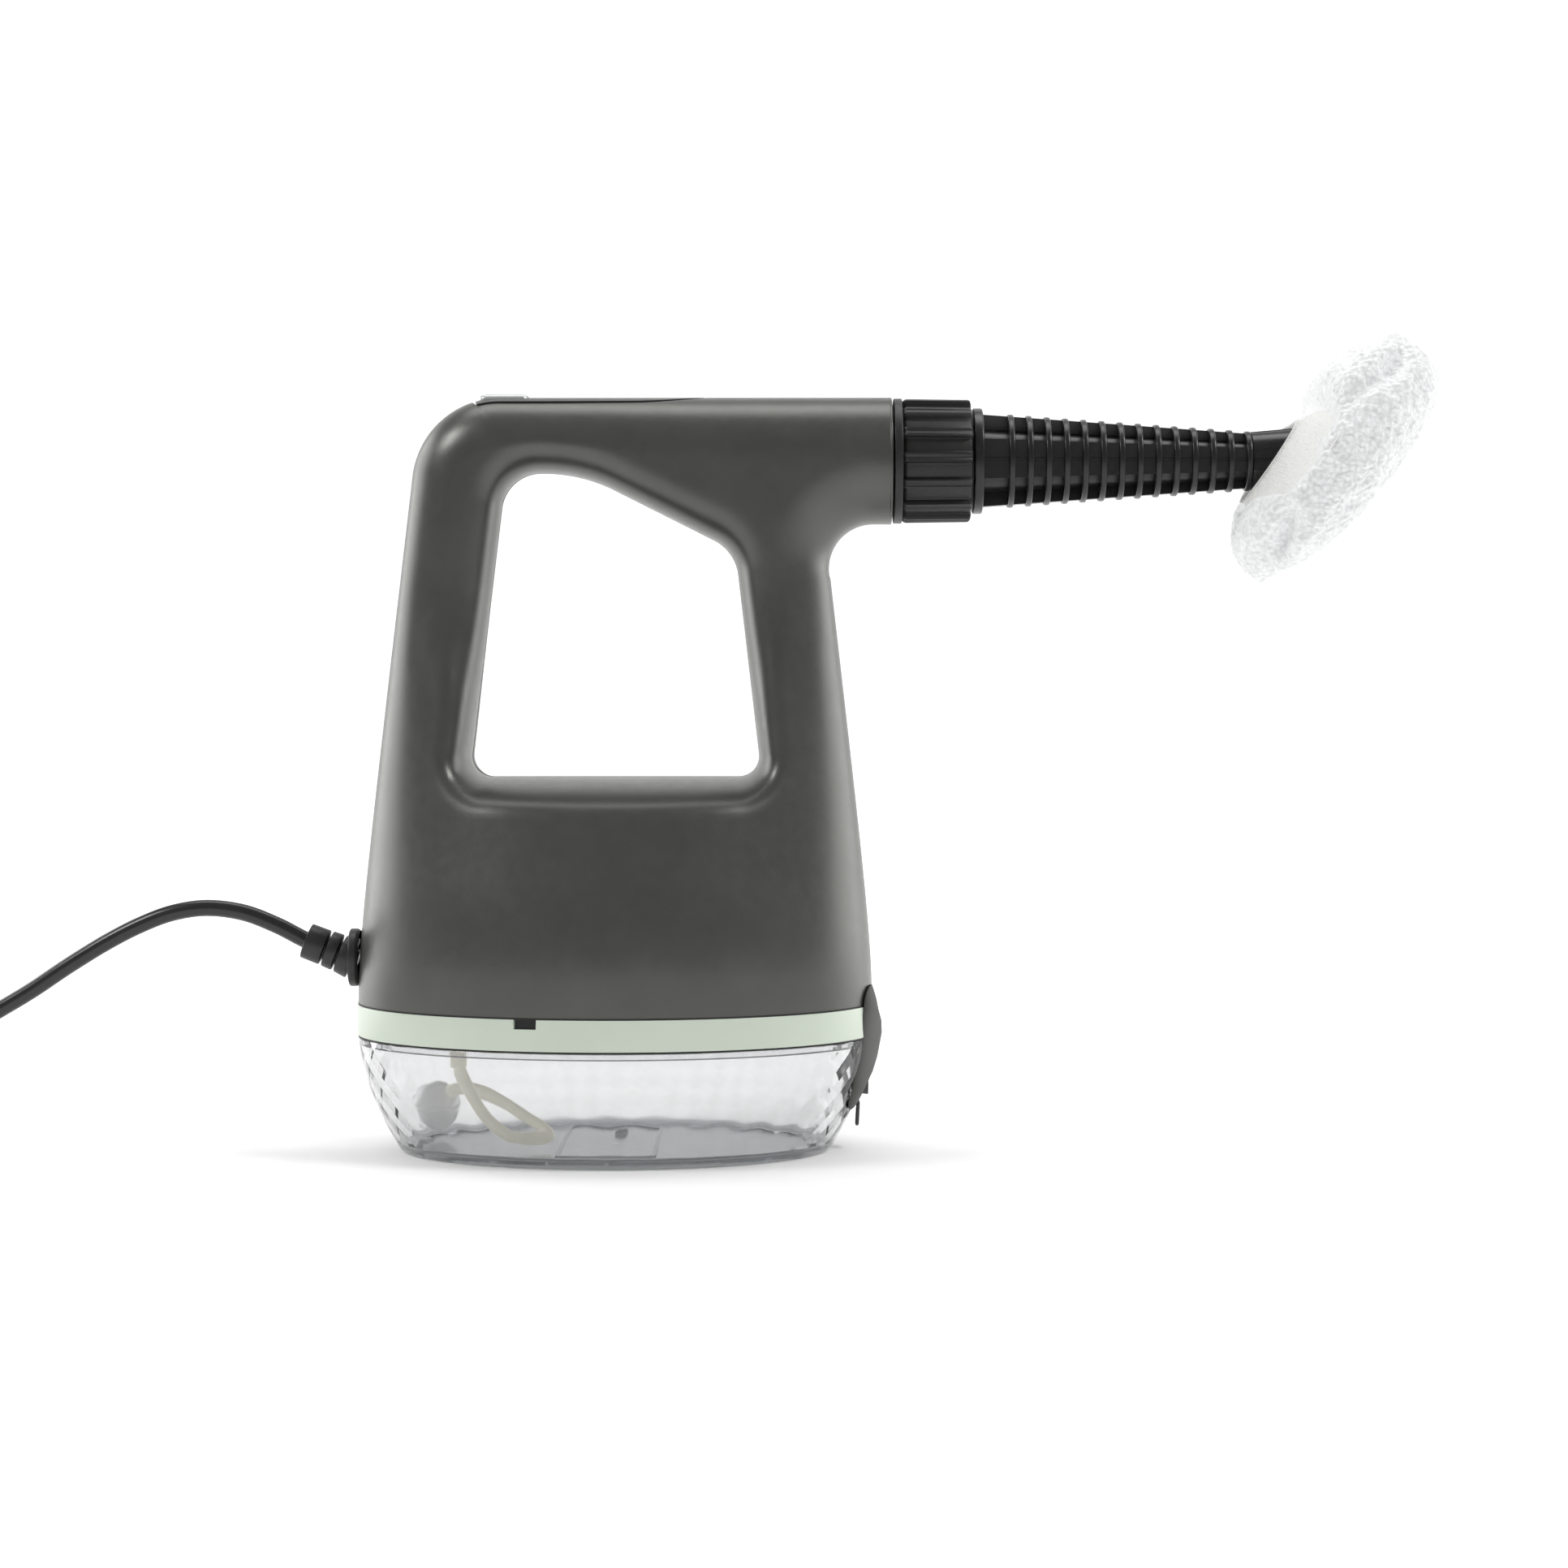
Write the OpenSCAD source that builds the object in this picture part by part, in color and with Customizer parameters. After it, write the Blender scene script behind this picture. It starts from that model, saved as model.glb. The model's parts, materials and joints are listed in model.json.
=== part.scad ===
// Handheld steamer that stands on its water tank, with an extension nozzle,
// a cleaning head and a terry cloth cover. The nozzle points along +X, Z is up,
// and the origin is the centre of the tank's flat foot.

/* [Casing] */
// Half the length of the casing at its foot
foot_a = 97.9; // [94:0.1:102]
// Half the depth of the casing at its foot
foot_b = 67; // [62:0.5:72]
// Height of the casing's foot above the floor
foot_z = 56.4; // [54:0.1:60]
// How much the sides lean in for each millimetre of height
side_lean = 0.118; // [0.1:0.002:0.13]
// Half the depth of the top handle
handle_t = 20.5; // [18:0.5:23]
// Thickness of the casing wall
wall = 2.4; // [2:0.1:3]

/* [Barrel] */
// Radius of the barrel that carries the nozzle
barrel_r = 24.2; // [23:0.1:25]
// Height of the barrel's axis
barrel_z = 262.5; // [260:0.5:264]
// Distance from the middle of the foot to the barrel's end
barrel_x = 105.3; // [103:0.1:108]

/* [Tank and band] */
// Height of the clear tank below the band
tank_h = 43.7; // [40:0.1:46]
// Half the length of the tank's flat foot
tank_foot_a = 81.5; // [76:0.5:86]
// Wall of the tank
tank_wall = 2.4; // [2:0.1:3]
// Half the length of the trim band
band_a = 98.3; // [98:0.1:99]

/* [Nozzle] */
// Number of thin rings on the nozzle
ring_count = 14; // [8:1:16]
// Distance from one ring to the next
ring_pitch = 6.96; // [6:0.01:7]
// Width of one ring
ring_w = 2.3; // [1.5:0.1:3]
// Number of grip ribs round the lock collar
collar_ribs = 14; // [10:1:18]

/* [Cleaning head] */
// Tilt of the head's face from upright
head_tilt = 34; // [20:1:45]
// Length of the cloth cover
cover_l = 106; // [90:1:110]
// Width of the cloth cover
cover_w = 100; // [80:1:110]
// Thickness of the cloth cover
cover_t = 51; // [40:1:54]

/* [Button] */
// Length of the steam button
button_l = 19.6; // [16:0.1:20]
// Width of the steam button
button_w = 9; // [7:0.1:9.5]

/* [Cord] */
// Diameter of the mains cord
cord_d = 6.4; // [6:0.1:7]
// Radius to the middle of the coil's turns
coil_r = 37; // [32:1:39]

/* [Hidden] */

$fn = 48;
// Least half depth of the casing, so that its seam has no zero-width faces
hair = 0.02;
plan = foot_b / foot_a;

// Casing outline
top_z = barrel_z + barrel_r;
low_z = barrel_z - barrel_r;
corner_r = 34;
corner_x = -43.8;
throat_r = 17;
throat_x = 98.5;
throat_z = low_z - throat_r;
knee = 30;
opening = [[-55.7, 142, 8], [55.7, 142, 8], [45.7, 228, 17], [-13.3, 257.8, 60], [-42, 257.8, 15]];
opening_edge = 14;
opening_power = 2.5;
end_wall = 3;

// Smooth step from 0 to 1
function ease(t) = let (c = min(1, max(0, t))) c * c * (3 - 2 * c);
function mix(a, b, t) = a + (b - a) * ease(t);
function unit(v) = v / norm(v);

// Half the casing's length at a height: upright at the foot, then leaning in
function side_x(z) =
    let (t = max(0, z - foot_z))
    foot_a - side_lean * (sqrt(t * t + knee * knee) - knee);

// Points along an arc or a line, without the last one
function arc_pts(c, r, from, to, n) =
    [for (i = [0:n - 1]) let (a = from + (to - from) * i / n) c + r * [cos(a), sin(a)]];
function line_pts(p, q, n) = [for (i = [0:n - 1]) p + (q - p) * i / n];

// Centre of the round in corner i of the opening, and the two angles its arc runs between
function corner_c(i) =
    let (
        n = len(opening),
        p = [opening[i][0], opening[i][1]],
        a = unit([opening[(i + n - 1) % n][0], opening[(i + n - 1) % n][1]] - p),
        b = unit([opening[(i + 1) % n][0], opening[(i + 1) % n][1]] - p),
        half = acos(a * b) / 2
    )
    p + unit(a + b) * opening[i][2] / sin(half);
function edge_angle(i) =
    let (
        n = len(opening),
        p = opening[i],
        q = opening[(i + 1) % n],
        a = atan2(p[0] - q[0], q[1] - p[1])
    )
    a < -100 ? a + 360 : a;
function corner_arc(i, grow, from, to, n) = arc_pts(corner_c(i), opening[i][2] + grow, from, to, n);
function corner_pt(i, grow, a) = corner_c(i) + (opening[i][2] + grow) * [cos(a), sin(a)];

// The opening's edge, grown by the wall for the inside of the shell
function inner_curve(grow) =
    let (
        low = -90,
        right = edge_angle(1),
        slope = edge_angle(2),
        top = 90,
        left = edge_angle(4),
        low_left = (left + 270) / 2,
        low_right = (low + right) / 2
    )
    concat(
        corner_arc(0, grow, low_left, 270, 4),
        line_pts(corner_pt(0, grow, 270), corner_pt(1, grow, low), 16),
        corner_arc(1, grow, low, low_right, 4),
        corner_arc(1, grow, low_right, right, 3),
        line_pts(corner_pt(1, grow, right), corner_pt(2, grow, right), 13),
        corner_arc(2, grow, right, slope, 17),
        line_pts(corner_pt(2, grow, slope), corner_pt(3, grow, slope), 8),
        corner_arc(3, grow, slope, top, 4),
        line_pts(corner_pt(3, grow, top), corner_pt(4, grow, top), 4),
        corner_arc(4, grow, top, left, 8),
        line_pts(corner_pt(4, grow, left), corner_pt(0, grow, left), 13),
        corner_arc(0, grow, left, low_left, 3)
    );

// The silhouette, drawn in by the wall for the inside of the shell
function side_pts(s, z0, z1, inset, n) =
    [for (i = [0:n - 1]) let (z = z0 + (z1 - z0) * i / n) [s * (side_x(z) - inset), z]];
function outer_curve(inset, low, end) =
    let (a = side_x(low) - inset, span = top_z - low_z - 2 * inset)
    concat(
        [for (i = [0:23]) [-a * cos(180 * i / 24), low]],
        side_pts(1, low, throat_z - 2, inset, 16),
        arc_pts([throat_x, throat_z], throat_r + inset, 187, 90, 6),
        [[throat_x, low_z + inset]],
        [for (i = [0:9]) [end, barrel_z - span / 2 * cos(18 * i)]],
        line_pts([end, top_z - inset], [corner_x, top_z - inset], 16),
        arc_pts([corner_x, top_z - corner_r], corner_r - inset, 90, 173, 8),
        side_pts(-1, top_z - corner_r + 4, low, inset, 16)
    );
// How far each ray of the surface bends towards the barrel's axis
bend = concat(
    [for (i = [0:39]) 0],
    [for (i = [0:5]) i / 6],
    [for (i = [0:10]) 1],
    [for (i = [0:15]) max(0, 1 - i / 8)],
    [for (i = [0:23]) 0]
);

function seg_d(p, a, b) =
    let (ab = b - a, t = min(1, max(0, (p - a) * ab / (ab * ab))))
    norm(p - a - ab * t);
function path_d(p, path, from, to) = min([for (i = [from:to]) seg_d(p, path[i], path[(i + 1) % len(path)])]);
function round_edge(s) = let (c = 1 - min(1, s)) sqrt(max(0, 1 - c * c));
function soft_edge(s) =
    let (c = 1 - min(1, s))
    pow(max(0, 1 - pow(c, opening_power)), 1 / opening_power);

// Half the casing's depth at a point of its side view
function half_depth(p, inset, outer, inner) =
    let (
        out_d = min(path_d(p, outer, 24, 46), path_d(p, outer, 57, 96)),
        in_d = path_d(p, inner, 0, 96),
        top_t = mix(handle_t, barrel_r, (p[0] + 40) / 90),
        deep = mix(foot_b, top_t, (p[1] - 70) / 145) - inset,
        reach = mix(side_x(p[1]), top_t, (p[1] - 105) / 95) - inset
    )
    max(hair, deep * round_edge(out_d / reach) * soft_edge(in_d / (opening_edge - inset)));

// Closed form of the casing: its skin at inset 0, or the hollow inside at the wall's inset
module casing_form(inset, low, end, rows) {
    outer = outer_curve(inset, low, end);
    inner = inner_curve(inset);
    n = len(outer);
    m = 2 * (rows + 1);
    pts = [for (i = [0:n - 1]) let (
            mid = (outer[i] + inner[i]) / 2,
            pull = [72, barrel_z + (outer[i][1] - barrel_z) * 0.8],
            ctl = mid + (pull - mid) * bend[i],
            ray = [for (j = [0:rows]) let (v = (1 - cos(180 * j / rows)) / 2)
                (1 - v) * (1 - v) * outer[i] + 2 * v * (1 - v) * ctl + v * v * inner[i]],
            h = [for (p = ray) half_depth(p, inset, outer, inner)]
        )
        for (j = [0:m - 1]) let (k = j <= rows ? j : m - 1 - j)
            [ray[k][0], (j <= rows ? -1 : 1) * h[k], ray[k][1]]];
    quads = [for (i = [0:n - 1], j = [0:m - 1]) let (a = (i + 1) % n, b = (j + 1) % m)
        [i * m + j, i * m + b, a * m + b, a * m + j]];
    polyhedron(points = pts, faces = [for (q = quads) each [[q[0], q[1], q[2]], [q[0], q[2], q[3]]]]);
}

// Places in the side view where the two shells are screwed together
shell_screws = [[-84, 96], [84, 96], [-69, 172], [69, 172], [-64, 260], [52, 258]];
boss_r = 5.5;
screw_r = 1.5;
head_r = 3.2;
head_y = 8;
gland_z = 73;
gland_r = 6;
panel_x0 = -54.5;
panel_x1 = 35;
panel_half = 7;
panel_z = 282.6;
panel_back = 3;
panel_taper = 30;
button_x = -52.2;
spigot_screw = 17.4;

// Plan of the top panel: rounded at the back, drawn out to a blunt tip in front
function panel_edge(x) =
    let (
        b = max(0, panel_x0 + panel_back - x) / panel_back,
        f = max(0, x - panel_x1 + panel_taper) / panel_taper
    )
    panel_half * sqrt(max(0, 1 - b * b)) * sqrt(max(0, 1 - f * f));
module panel_plan(grow, h) {
    xs = concat(
        [for (i = [0:6]) panel_x0 + panel_back * (1 - cos(15 * i))],
        [for (i = [0:12]) panel_x1 - panel_taper * (1 - sin(7.5 * i))]
    );
    half = [for (x = xs) [x, panel_edge(x)]];
    linear_extrude(h) offset(delta = grow)
        polygon(concat(half, [for (i = [len(half) - 2:-1:1]) [half[i][0], -half[i][1]]]));
}

module along_x(x, z = barrel_z) { translate([x, 0, z]) rotate([0, 90, 0]) children(); }
module along_y(x, z) { translate([x, 0, z]) rotate([-90, 0, 0]) children(); }

// side is -1 for the right shell and 1 for the left one, which takes the screws' heads
module shell(side) {
    difference() {
        union() {
            difference() {
                casing_form(0, foot_z, barrel_x, 12);
                casing_form(wall, foot_z - 1, barrel_x - end_wall, 8);
            }
            intersection() {
                casing_form(wall / 2, deck_top + 0.2, barrel_x - 1, 6);
                union() {
                    for (s = shell_screws) hull() {
                        along_y(s[0], s[1]) cylinder(r = boss_r, h = 140, center = true, $fn = 24);
                        along_y(s[0], s[1]) cylinder(r = boss_r, h = 1, center = true, $fn = 24);
                    }
                    for (x = [-deck_screw, deck_screw]) hull() {
                        translate([x, side * (deck_screw - 2), deck_top + 0.2])
                            cylinder(r = 5, h = 14, $fn = 20);
                        translate([x, side * (deck_screw + 6), deck_top + 0.2])
                            cylinder(r = 5, h = 14, $fn = 20);
                    }
                }
            }
        }
        translate([-200, side > 0 ? -100 : 0, 0]) cube([400, 100, 400]);
        for (s = shell_screws) {
            along_y(s[0], s[1]) translate([0, 0, -head_y - 6]) cylinder(r = screw_r + 0.08, h = 30, $fn = 24);
            if (side > 0) along_y(s[0], s[1]) translate([0, 0, head_y])
                cylinder(r = head_r + 0.5, h = 80, $fn = 24);
        }
        for (x = [-1, 1]) translate([x * deck_screw, side * deck_screw, foot_z])
            cylinder(r = screw_r + 0.08, h = 14, $fn = 20);
        translate([-110, 0, gland_z]) rotate([0, 90, 0]) cylinder(r = gland_r + 0.2, h = 20, $fn = 32);
        along_x(barrel_x - 10) cylinder(r = 14.7, h = 20, $fn = 48);
        for (a = [45:90:315]) along_x(barrel_x - 5) rotate([0, 0, a]) translate([spigot_screw, 0, 0])
            cylinder(r = screw_r + 0.08, h = 4.4, $fn = 20);
        translate([0, 0, panel_z - 0.2]) panel_plan(0.2, 20);
        translate([button_x - 0.5, -button_w / 2 - 0.5, panel_z - 4]) cube([button_l + 1, button_w + 1, 5]);
    }
}
module casing_right() { color([0.35, 0.35, 0.33]) shell(-1); }
module casing_left() { color([0.35, 0.35, 0.33]) shell(1); }

module screw(length, head = head_r) {
    difference() {
        union() {
            cylinder(r = screw_r, h = length);
            translate([0, 0, length]) cylinder(r = head, h = 2.2);
        }
        for (a = [0, 90]) rotate([0, 0, a]) translate([-1.8, -0.4, length + 0.9]) cube([3.6, 0.8, 2]);
    }
}
module casing_screws() {
    color("silver") for (s = shell_screws) along_y(s[0], s[1])
        translate([0, 0, -head_y - 4]) screw(2 * head_y + 4);
}

// Control insert let into the top of the handle
module top_panel() {
    color([0.33, 0.33, 0.31]) difference() {
        intersection() {
            casing_form(0, foot_z, barrel_x, 12);
            translate([0, 0, panel_z]) panel_plan(0, 10);
        }
        translate([button_x - 0.3, -button_w / 2 - 0.3, panel_z - 5])
            cube([button_l + 0.6, button_w + 0.6, 20]);
        for (i = [0:7]) hull() {
            translate([-20 + 5 * i, -1, panel_z - 1]) cylinder(r = 0.8, h = 1.8, $fn = 12);
            translate([-20 + 5 * i, 1, panel_z - 1]) cylinder(r = 0.8, h = 1.8, $fn = 12);
        }
    }
}
stem_x = button_x + button_l / 2;
button_top = 288.3;
button_crown = 60;
module steam_button() {
    color([0.78, 0.79, 0.79]) {
        intersection() {
            translate([button_x, -button_w / 2, button_top - 7.1])
                cube([button_l, button_w, 7.1]);
            translate([stem_x, 0, button_top - button_crown]) rotate([90, 0, 0])
                cylinder(r = button_crown, h = 20, center = true, $fn = 160);
        }
        translate([stem_x, 0, 274.9]) cylinder(r = 1.8, h = 6.5);
    }
}

// Tube swept along a list of points; ref is a direction the path never runs in
function smooth(p, n) = [for (i = [0:len(p) - 2], k = [0:n - 1]) let (
        t = k / n,
        a = p[max(0, i - 1)], b = p[i], c = p[i + 1], d = p[min(len(p) - 1, i + 2)]
    )
    0.5 * (2 * b + (c - a) * t + (2 * a - 5 * b + 4 * c - d) * t * t + (3 * b - a - 3 * c + d) * t * t * t),
    p[len(p) - 1]];
module tube(path, r, sides = 8, ref = [0, 1, 0]) {
    n = len(path);
    rings = [for (i = [0:n - 1]) let (
            t = unit(path[min(n - 1, i + 1)] - path[max(0, i - 1)]),
            u = unit(cross(t, ref)),
            v = cross(t, u)
        )
        for (k = [0:sides - 1]) let (a = 360 * k / sides) path[i] + r * (cos(a) * u + sin(a) * v)];
    walls = [for (i = [0:n - 2], k = [0:sides - 1]) let (
            a = i * sides + k, b = i * sides + (k + 1) % sides, c = a + sides, d = b + sides
        ) each [[a, b, d], [a, d, c]]];
    ends = [[for (k = [0:sides - 1]) sides - 1 - k], [for (k = [0:sides - 1]) (n - 1) * sides + k]];
    polyhedron(points = rings, faces = concat(walls, ends));
}

spring_turns = 4;
module button_spring() {
    color("silver") tube([for (i = [0:12 * spring_turns]) [
        stem_x + 3 * cos(30 * i), 3 * sin(30 * i), 277.2 + 3.4 * i / (12 * spring_turns)
    ]], 0.3, 6, [0, 0, 1]);
}
module microswitch() {
    color([0.15, 0.15, 0.16]) difference() {
        union() {
            translate([stem_x - 10, -3.2, 264]) cube([20, 6.4, 9]);
            translate([stem_x - 4.8, -4.8, 273]) difference() {
                cube([9.6, 9.6, 3.9]);
                translate([4.8, 4.8, -1]) cylinder(r = 2.4, h = 6);
            }
        }
        for (x = [-7, 7]) translate([stem_x + x, 0, 266.5]) rotate([90, 0, 0])
            cylinder(r = 1.1, h = 20, center = true);
    }
}
module indicator_board() {
    color([0.1, 0.4, 0.2]) translate([-16, -6, 278.4]) cube([34, 12, 1.6]);
    color("ivory") for (x = [-8, 8]) translate([x, 0, 280]) cylinder(r = 1.5, h = 1.6);
}

// Oval solid turned from a profile and narrowed to the casing's plan
module oval() {
    for (a = [0:90:270]) scale([1, plan, 1]) rotate([0, 0, a])
        rotate_extrude(angle = 90, $fn = 180) children();
}
function tank_x(z) = foot_a - (foot_a - tank_foot_a) * pow(max(0, 1 - z / tank_h), 1.7);
tank_steps = 9;
function tank_side(inset, z0, z1) = [for (i = [0:tank_steps]) let (z = z0 + (z1 - z0) * i / tank_steps)
    [tank_x(z) - inset, z]];
neck_a = 93.2;
neck_z = 51;
deck_z = 55.6;
deck_top = 58.8;
filler_z = 29;
filler_r = 8.6;

module trim_band() {
    color([0.78, 0.83, 0.76]) difference() {
        oval() translate([band_a - 2.4, tank_h + 0.3]) square([2.4, foot_z - tank_h - 0.6]);
        translate([-34, -80, 52.3]) cube([8.4, 30, 10]);
    }
}
module tank() {
    color([0.8, 0.81, 0.82], 0.5) difference() {
        oval() polygon(concat(
            [[0, 0]],
            tank_side(0, 0, tank_h),
            [[neck_a, tank_h], [neck_a, neck_z], [neck_a - tank_wall, neck_z],
                [neck_a - tank_wall, tank_h - tank_wall]],
            tank_side(tank_wall, tank_h - tank_wall, 3),
            [[0, 3]]
        ));
        translate([0, 0, filler_z]) rotate([0, 90, 0]) cylinder(r = filler_r + 0.6, h = 120);
    }
}
module tank_gasket() {
    color([0.85, 0.85, 0.8]) oval() translate([neck_a - tank_wall - 0.6, neck_z + 0.05])
        square([3.2, deck_z - neck_z - 0.1]);
}

// Rubber stopper: pad over the nose of the tank, tapered plug and pull tab
pad_low = 16.4;
pad_high = 63.4;
pad_half = 20;
module filler_stopper() {
    color([0.29, 0.29, 0.28]) {
        intersection() {
            oval() polygon(concat(
                tank_side(-0.5, 14, tank_h),
                [[band_a + 0.35, tank_h], [band_a + 0.35, foot_z], [band_a + 0.1, pad_high]],
                [[band_a + 1.4, pad_high - 0.5], [band_a + 2.3, pad_high - 5], [band_a + 2.3, tank_h - 2]],
                [for (p = tank_side(-3.6, tank_h - 4, 14)) p - [0.05 * (tank_h - p[1]), 0]]
            ));
            translate([60, 0, (pad_low + pad_high) / 2]) rotate([0, 90, 0])
                linear_extrude(60) hull() for (z = [-1, 1], y = [-1, 1])
                    translate([z * ((pad_high - pad_low) / 2 - 8), y * (pad_half - 8)])
                        circle(r = 8, $fn = 32);
        }
        translate([87.5, 0, filler_z]) rotate([0, 90, 0])
            cylinder(r1 = filler_r - 3, r2 = filler_r - 0.3, h = 9);
        translate([91.8, -4, 9.6]) cube([1.6, 8, 8.4]);
        translate([band_a + 0.8, -6, pad_high]) rotate([-90, 0, 0]) cylinder(r = 0.7, h = 12);
    }
}

plate_a = side_x(foot_z) - wall - 1.7;
hose_x = -58;
hose_y = -20;
cradle_x = [-58, -22];
post_x = [16, 64];
post_y = 18;
boiler_z = 74;
deck_screw = 46;
module chassis_plate() {
    color([0.2, 0.2, 0.2]) difference() {
        union() {
            oval() polygon([[0, deck_z], [neck_a + 0.3, deck_z], [neck_a + 0.3, 45], [band_a - 2.6, 45],
                [band_a - 2.6, foot_z - 0.2], [plate_a, foot_z - 0.2], [plate_a, deck_top], [0, deck_top]]);
            translate([hose_x, hose_y, deck_top - 0.1]) cylinder(r = 6, h = 5);
            for (x = cradle_x) translate([x - 5, -12, deck_top - 0.1]) cube([10, 24, 6.3]);
            for (x = post_x, y = [-post_y, post_y])
                translate([x, y, deck_top - 0.1]) cylinder(r = 4, h = boiler_z - deck_top + 0.1);
        }
        translate([hose_x, hose_y, 50]) cylinder(r = 4.1, h = 20);
        for (x = [-1, 1], y = [-1, 1]) translate([x * deck_screw, y * deck_screw, 50])
            cylinder(r = screw_r + 0.15, h = 20);
        for (x = post_x, y = [-post_y, post_y]) translate([x, y, deck_top + 2])
            cylinder(r = screw_r + 0.08, h = 20);
    }
}
module chassis_screws() {
    color("silver") for (x = [-1, 1], y = [-1, 1])
        translate([x * deck_screw, y * deck_screw, deck_z]) mirror([0, 0, 1])
            translate([0, 0, -14]) screw(14, 3);
}
module hose_fitting() {
    color([0.9, 0.9, 0.86]) translate([hose_x, hose_y, 0]) difference() {
        union() {
            translate([0, 0, 43]) cylinder(r = 2.6, h = 37);
            translate([0, 0, 50]) cylinder(r = 4, h = 14);
            translate([0, 0, 64]) cylinder(r = 6, h = 3);
            for (z = [45, 74]) translate([0, 0, z]) cylinder(r1 = 2.6, r2 = 3.1, h = 2);
        }
        translate([0, 0, 42]) cylinder(r = 1.5, h = 46);
    }
}
hose_route = [[-58, -20, 43], [-58, -20, 38], [-57, -20, 31], [-53, -20, 23], [-47, -20, 14], [-39, -20, 8],
    [-31, -19, 6.6], [-25, -14, 6.8], [-27, -8, 9], [-36, -4, 14], [-46, 2, 19], [-58, 9, 22], [-65, 13, 20]];
weight_at = [-71, 17, 14];
weight_r = 9.6;
module pickup_hose() {
    color([0.8, 0.79, 0.74]) tube(smooth(hose_route, 3), 2.2, 10, unit([0.3, -1, 0.15]));
}
module pickup_weight() {
    color([0.86, 0.86, 0.82]) difference() {
        translate(weight_at) sphere(r = weight_r);
        translate(hose_route[len(hose_route) - 1]) sphere(r = 3);
    }
}

pump_z = 77;
module pump() {
    color([0.75, 0.62, 0.3]) {
        translate([-49, -11, pump_z - 10.5]) cube([22, 22, 22]);
    }
    color([0.85, 0.85, 0.83]) translate([-66, 0, pump_z]) rotate([0, 90, 0]) {
        cylinder(r = 6, h = 17);
        translate([0, 0, 39]) cylinder(r = 6.5, h = 9);
        translate([0, 0, -8]) cylinder(r = 2.5, h = 8);
        translate([0, 0, 48]) cylinder(r = 2.5, h = 8);
    }
}
module pump_cradles() {
    color([0.1, 0.1, 0.1]) for (x = cradle_x) difference() {
        translate([x - 3, -10, deck_top + 6.25]) cube([6, 20, 21]);
        translate([x - 4, 0, pump_z]) rotate([0, 90, 0]) cylinder(r = x < -40 ? 6.05 : 6.55, h = 8);
    }
}
module boiler_block() {
    color([0.72, 0.72, 0.74]) difference() {
        union() {
            translate([8, -24, boiler_z]) cube([64, 48, 22]);
            for (y = [-14, 14]) translate([2, y, boiler_z + 11]) rotate([0, 90, 0]) cylinder(r = 5, h = 76);
            translate([12, -13, boiler_z + 21.9]) cube([56, 26, 4]);
        }
        for (x = post_x, y = [-post_y, post_y]) translate([x, y, boiler_z - 1])
            cylinder(r = screw_r + 0.1, h = 40);
        translate([62, 0, boiler_z + 6]) cylinder(r = 3, h = 40);
        translate([0, 0, boiler_z + 11]) rotate([0, 90, 0]) cylinder(r = 3, h = 20);
    }
}
module boiler_screws() {
    color("silver") for (x = post_x, y = [-post_y, post_y]) translate([x, y, boiler_z - 8]) screw(30, 2.8);
}
module heater_terminals() {
    color("silver") for (y = [-14, 14]) translate([78.05, y, boiler_z + 11]) rotate([0, 90, 0]) {
        cylinder(r = 2.4, h = 4);
        cylinder(r = 1.2, h = 7);
    }
}
module thermostat() {
    color([0.9, 0.88, 0.8]) translate([32, -8, boiler_z + 26]) {
        cylinder(r = 7.5, h = 6);
        translate([0, 0, 6]) cylinder(r = 5.5, h = 5);
    }
}
module thermal_fuse() {
    color("silver") translate([24, 11, boiler_z + 28.1]) rotate([0, 90, 0]) {
        cylinder(r = 2, h = 14);
        translate([0, 0, -8]) cylinder(r = 0.6, h = 30);
    }
}
module feed_hose() {
    color([0.85, 0.85, 0.8]) {
        tube(smooth([[hose_x, hose_y, 80], [hose_x, hose_y, 85], [-60, -18, 91], [-65, -13, 94],
            [-70, -8, 92],
            [-75, -3, 87], [-79, 0, 82], [-78.5, 0, 78.4], [-74, 0, pump_z]], 3), 3, 8, unit([0.5, 1, 0.25]));
        tube(smooth([[-9.8, 0, pump_z], [-6, 0, pump_z], [0, 0, 80], [4, 0, boiler_z + 11],
            [8, 0, boiler_z + 11]], 3), 2.6, 8);
    }
}
module steam_hose() {
    color([0.75, 0.72, 0.65])
        tube(smooth([[62, 0, boiler_z + 18], [62, 0, 112], [68, 0, 128], [76, 0, 145], [78, 0, 165],
        [75, 0, 190], [71, 0, 212], [67, 0, 230], [69, 0, 246], [76, 0, 257], [84, 0, 262],
            [91, 0, barrel_z], [97, 0, barrel_z]], 3), 2.8, 10);
}
module hose_clips() {
    color("silver") {
        translate([62, 0, boiler_z + 28]) difference() {
            cylinder(r = 4.2, h = 3);
            translate([0, 0, -1]) cylinder(r = 3.1, h = 5);
        }
        translate([hose_x, hose_y, 81]) difference() {
            cylinder(r = 4.4, h = 2.4);
            translate([0, 0, -1]) cylinder(r = 3.2, h = 5);
        }
    }
}
module terminal_block() {
    color([0.93, 0.93, 0.9]) difference() {
        translate([-80, 14, deck_top + 0.1]) cube([24, 12, 14]);
        for (x = [-75, -68, -61]) translate([x, 20, deck_top + 8]) cylinder(r = 1.8, h = 10);
    }
}
clamp_x = -76;
module cord_clamp() {
    color([0.15, 0.15, 0.15]) difference() {
        translate([clamp_x - 4, -13, gland_z - 9]) cube([8, 26, 6]);
        translate([clamp_x - 6, 0, gland_z]) rotate([0, 90, 0]) cylinder(r = cord_d / 2 + 0.05, h = 14);
        for (y = [-9.5, 9.5]) translate([clamp_x, y, gland_z - 12]) cylinder(r = screw_r + 0.05, h = 12);
    }
}
module clamp_screws() {
    color("silver") for (y = [-9.5, 9.5]) translate([clamp_x, y, gland_z - 11]) screw(8.05, 2.8);
}

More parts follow.
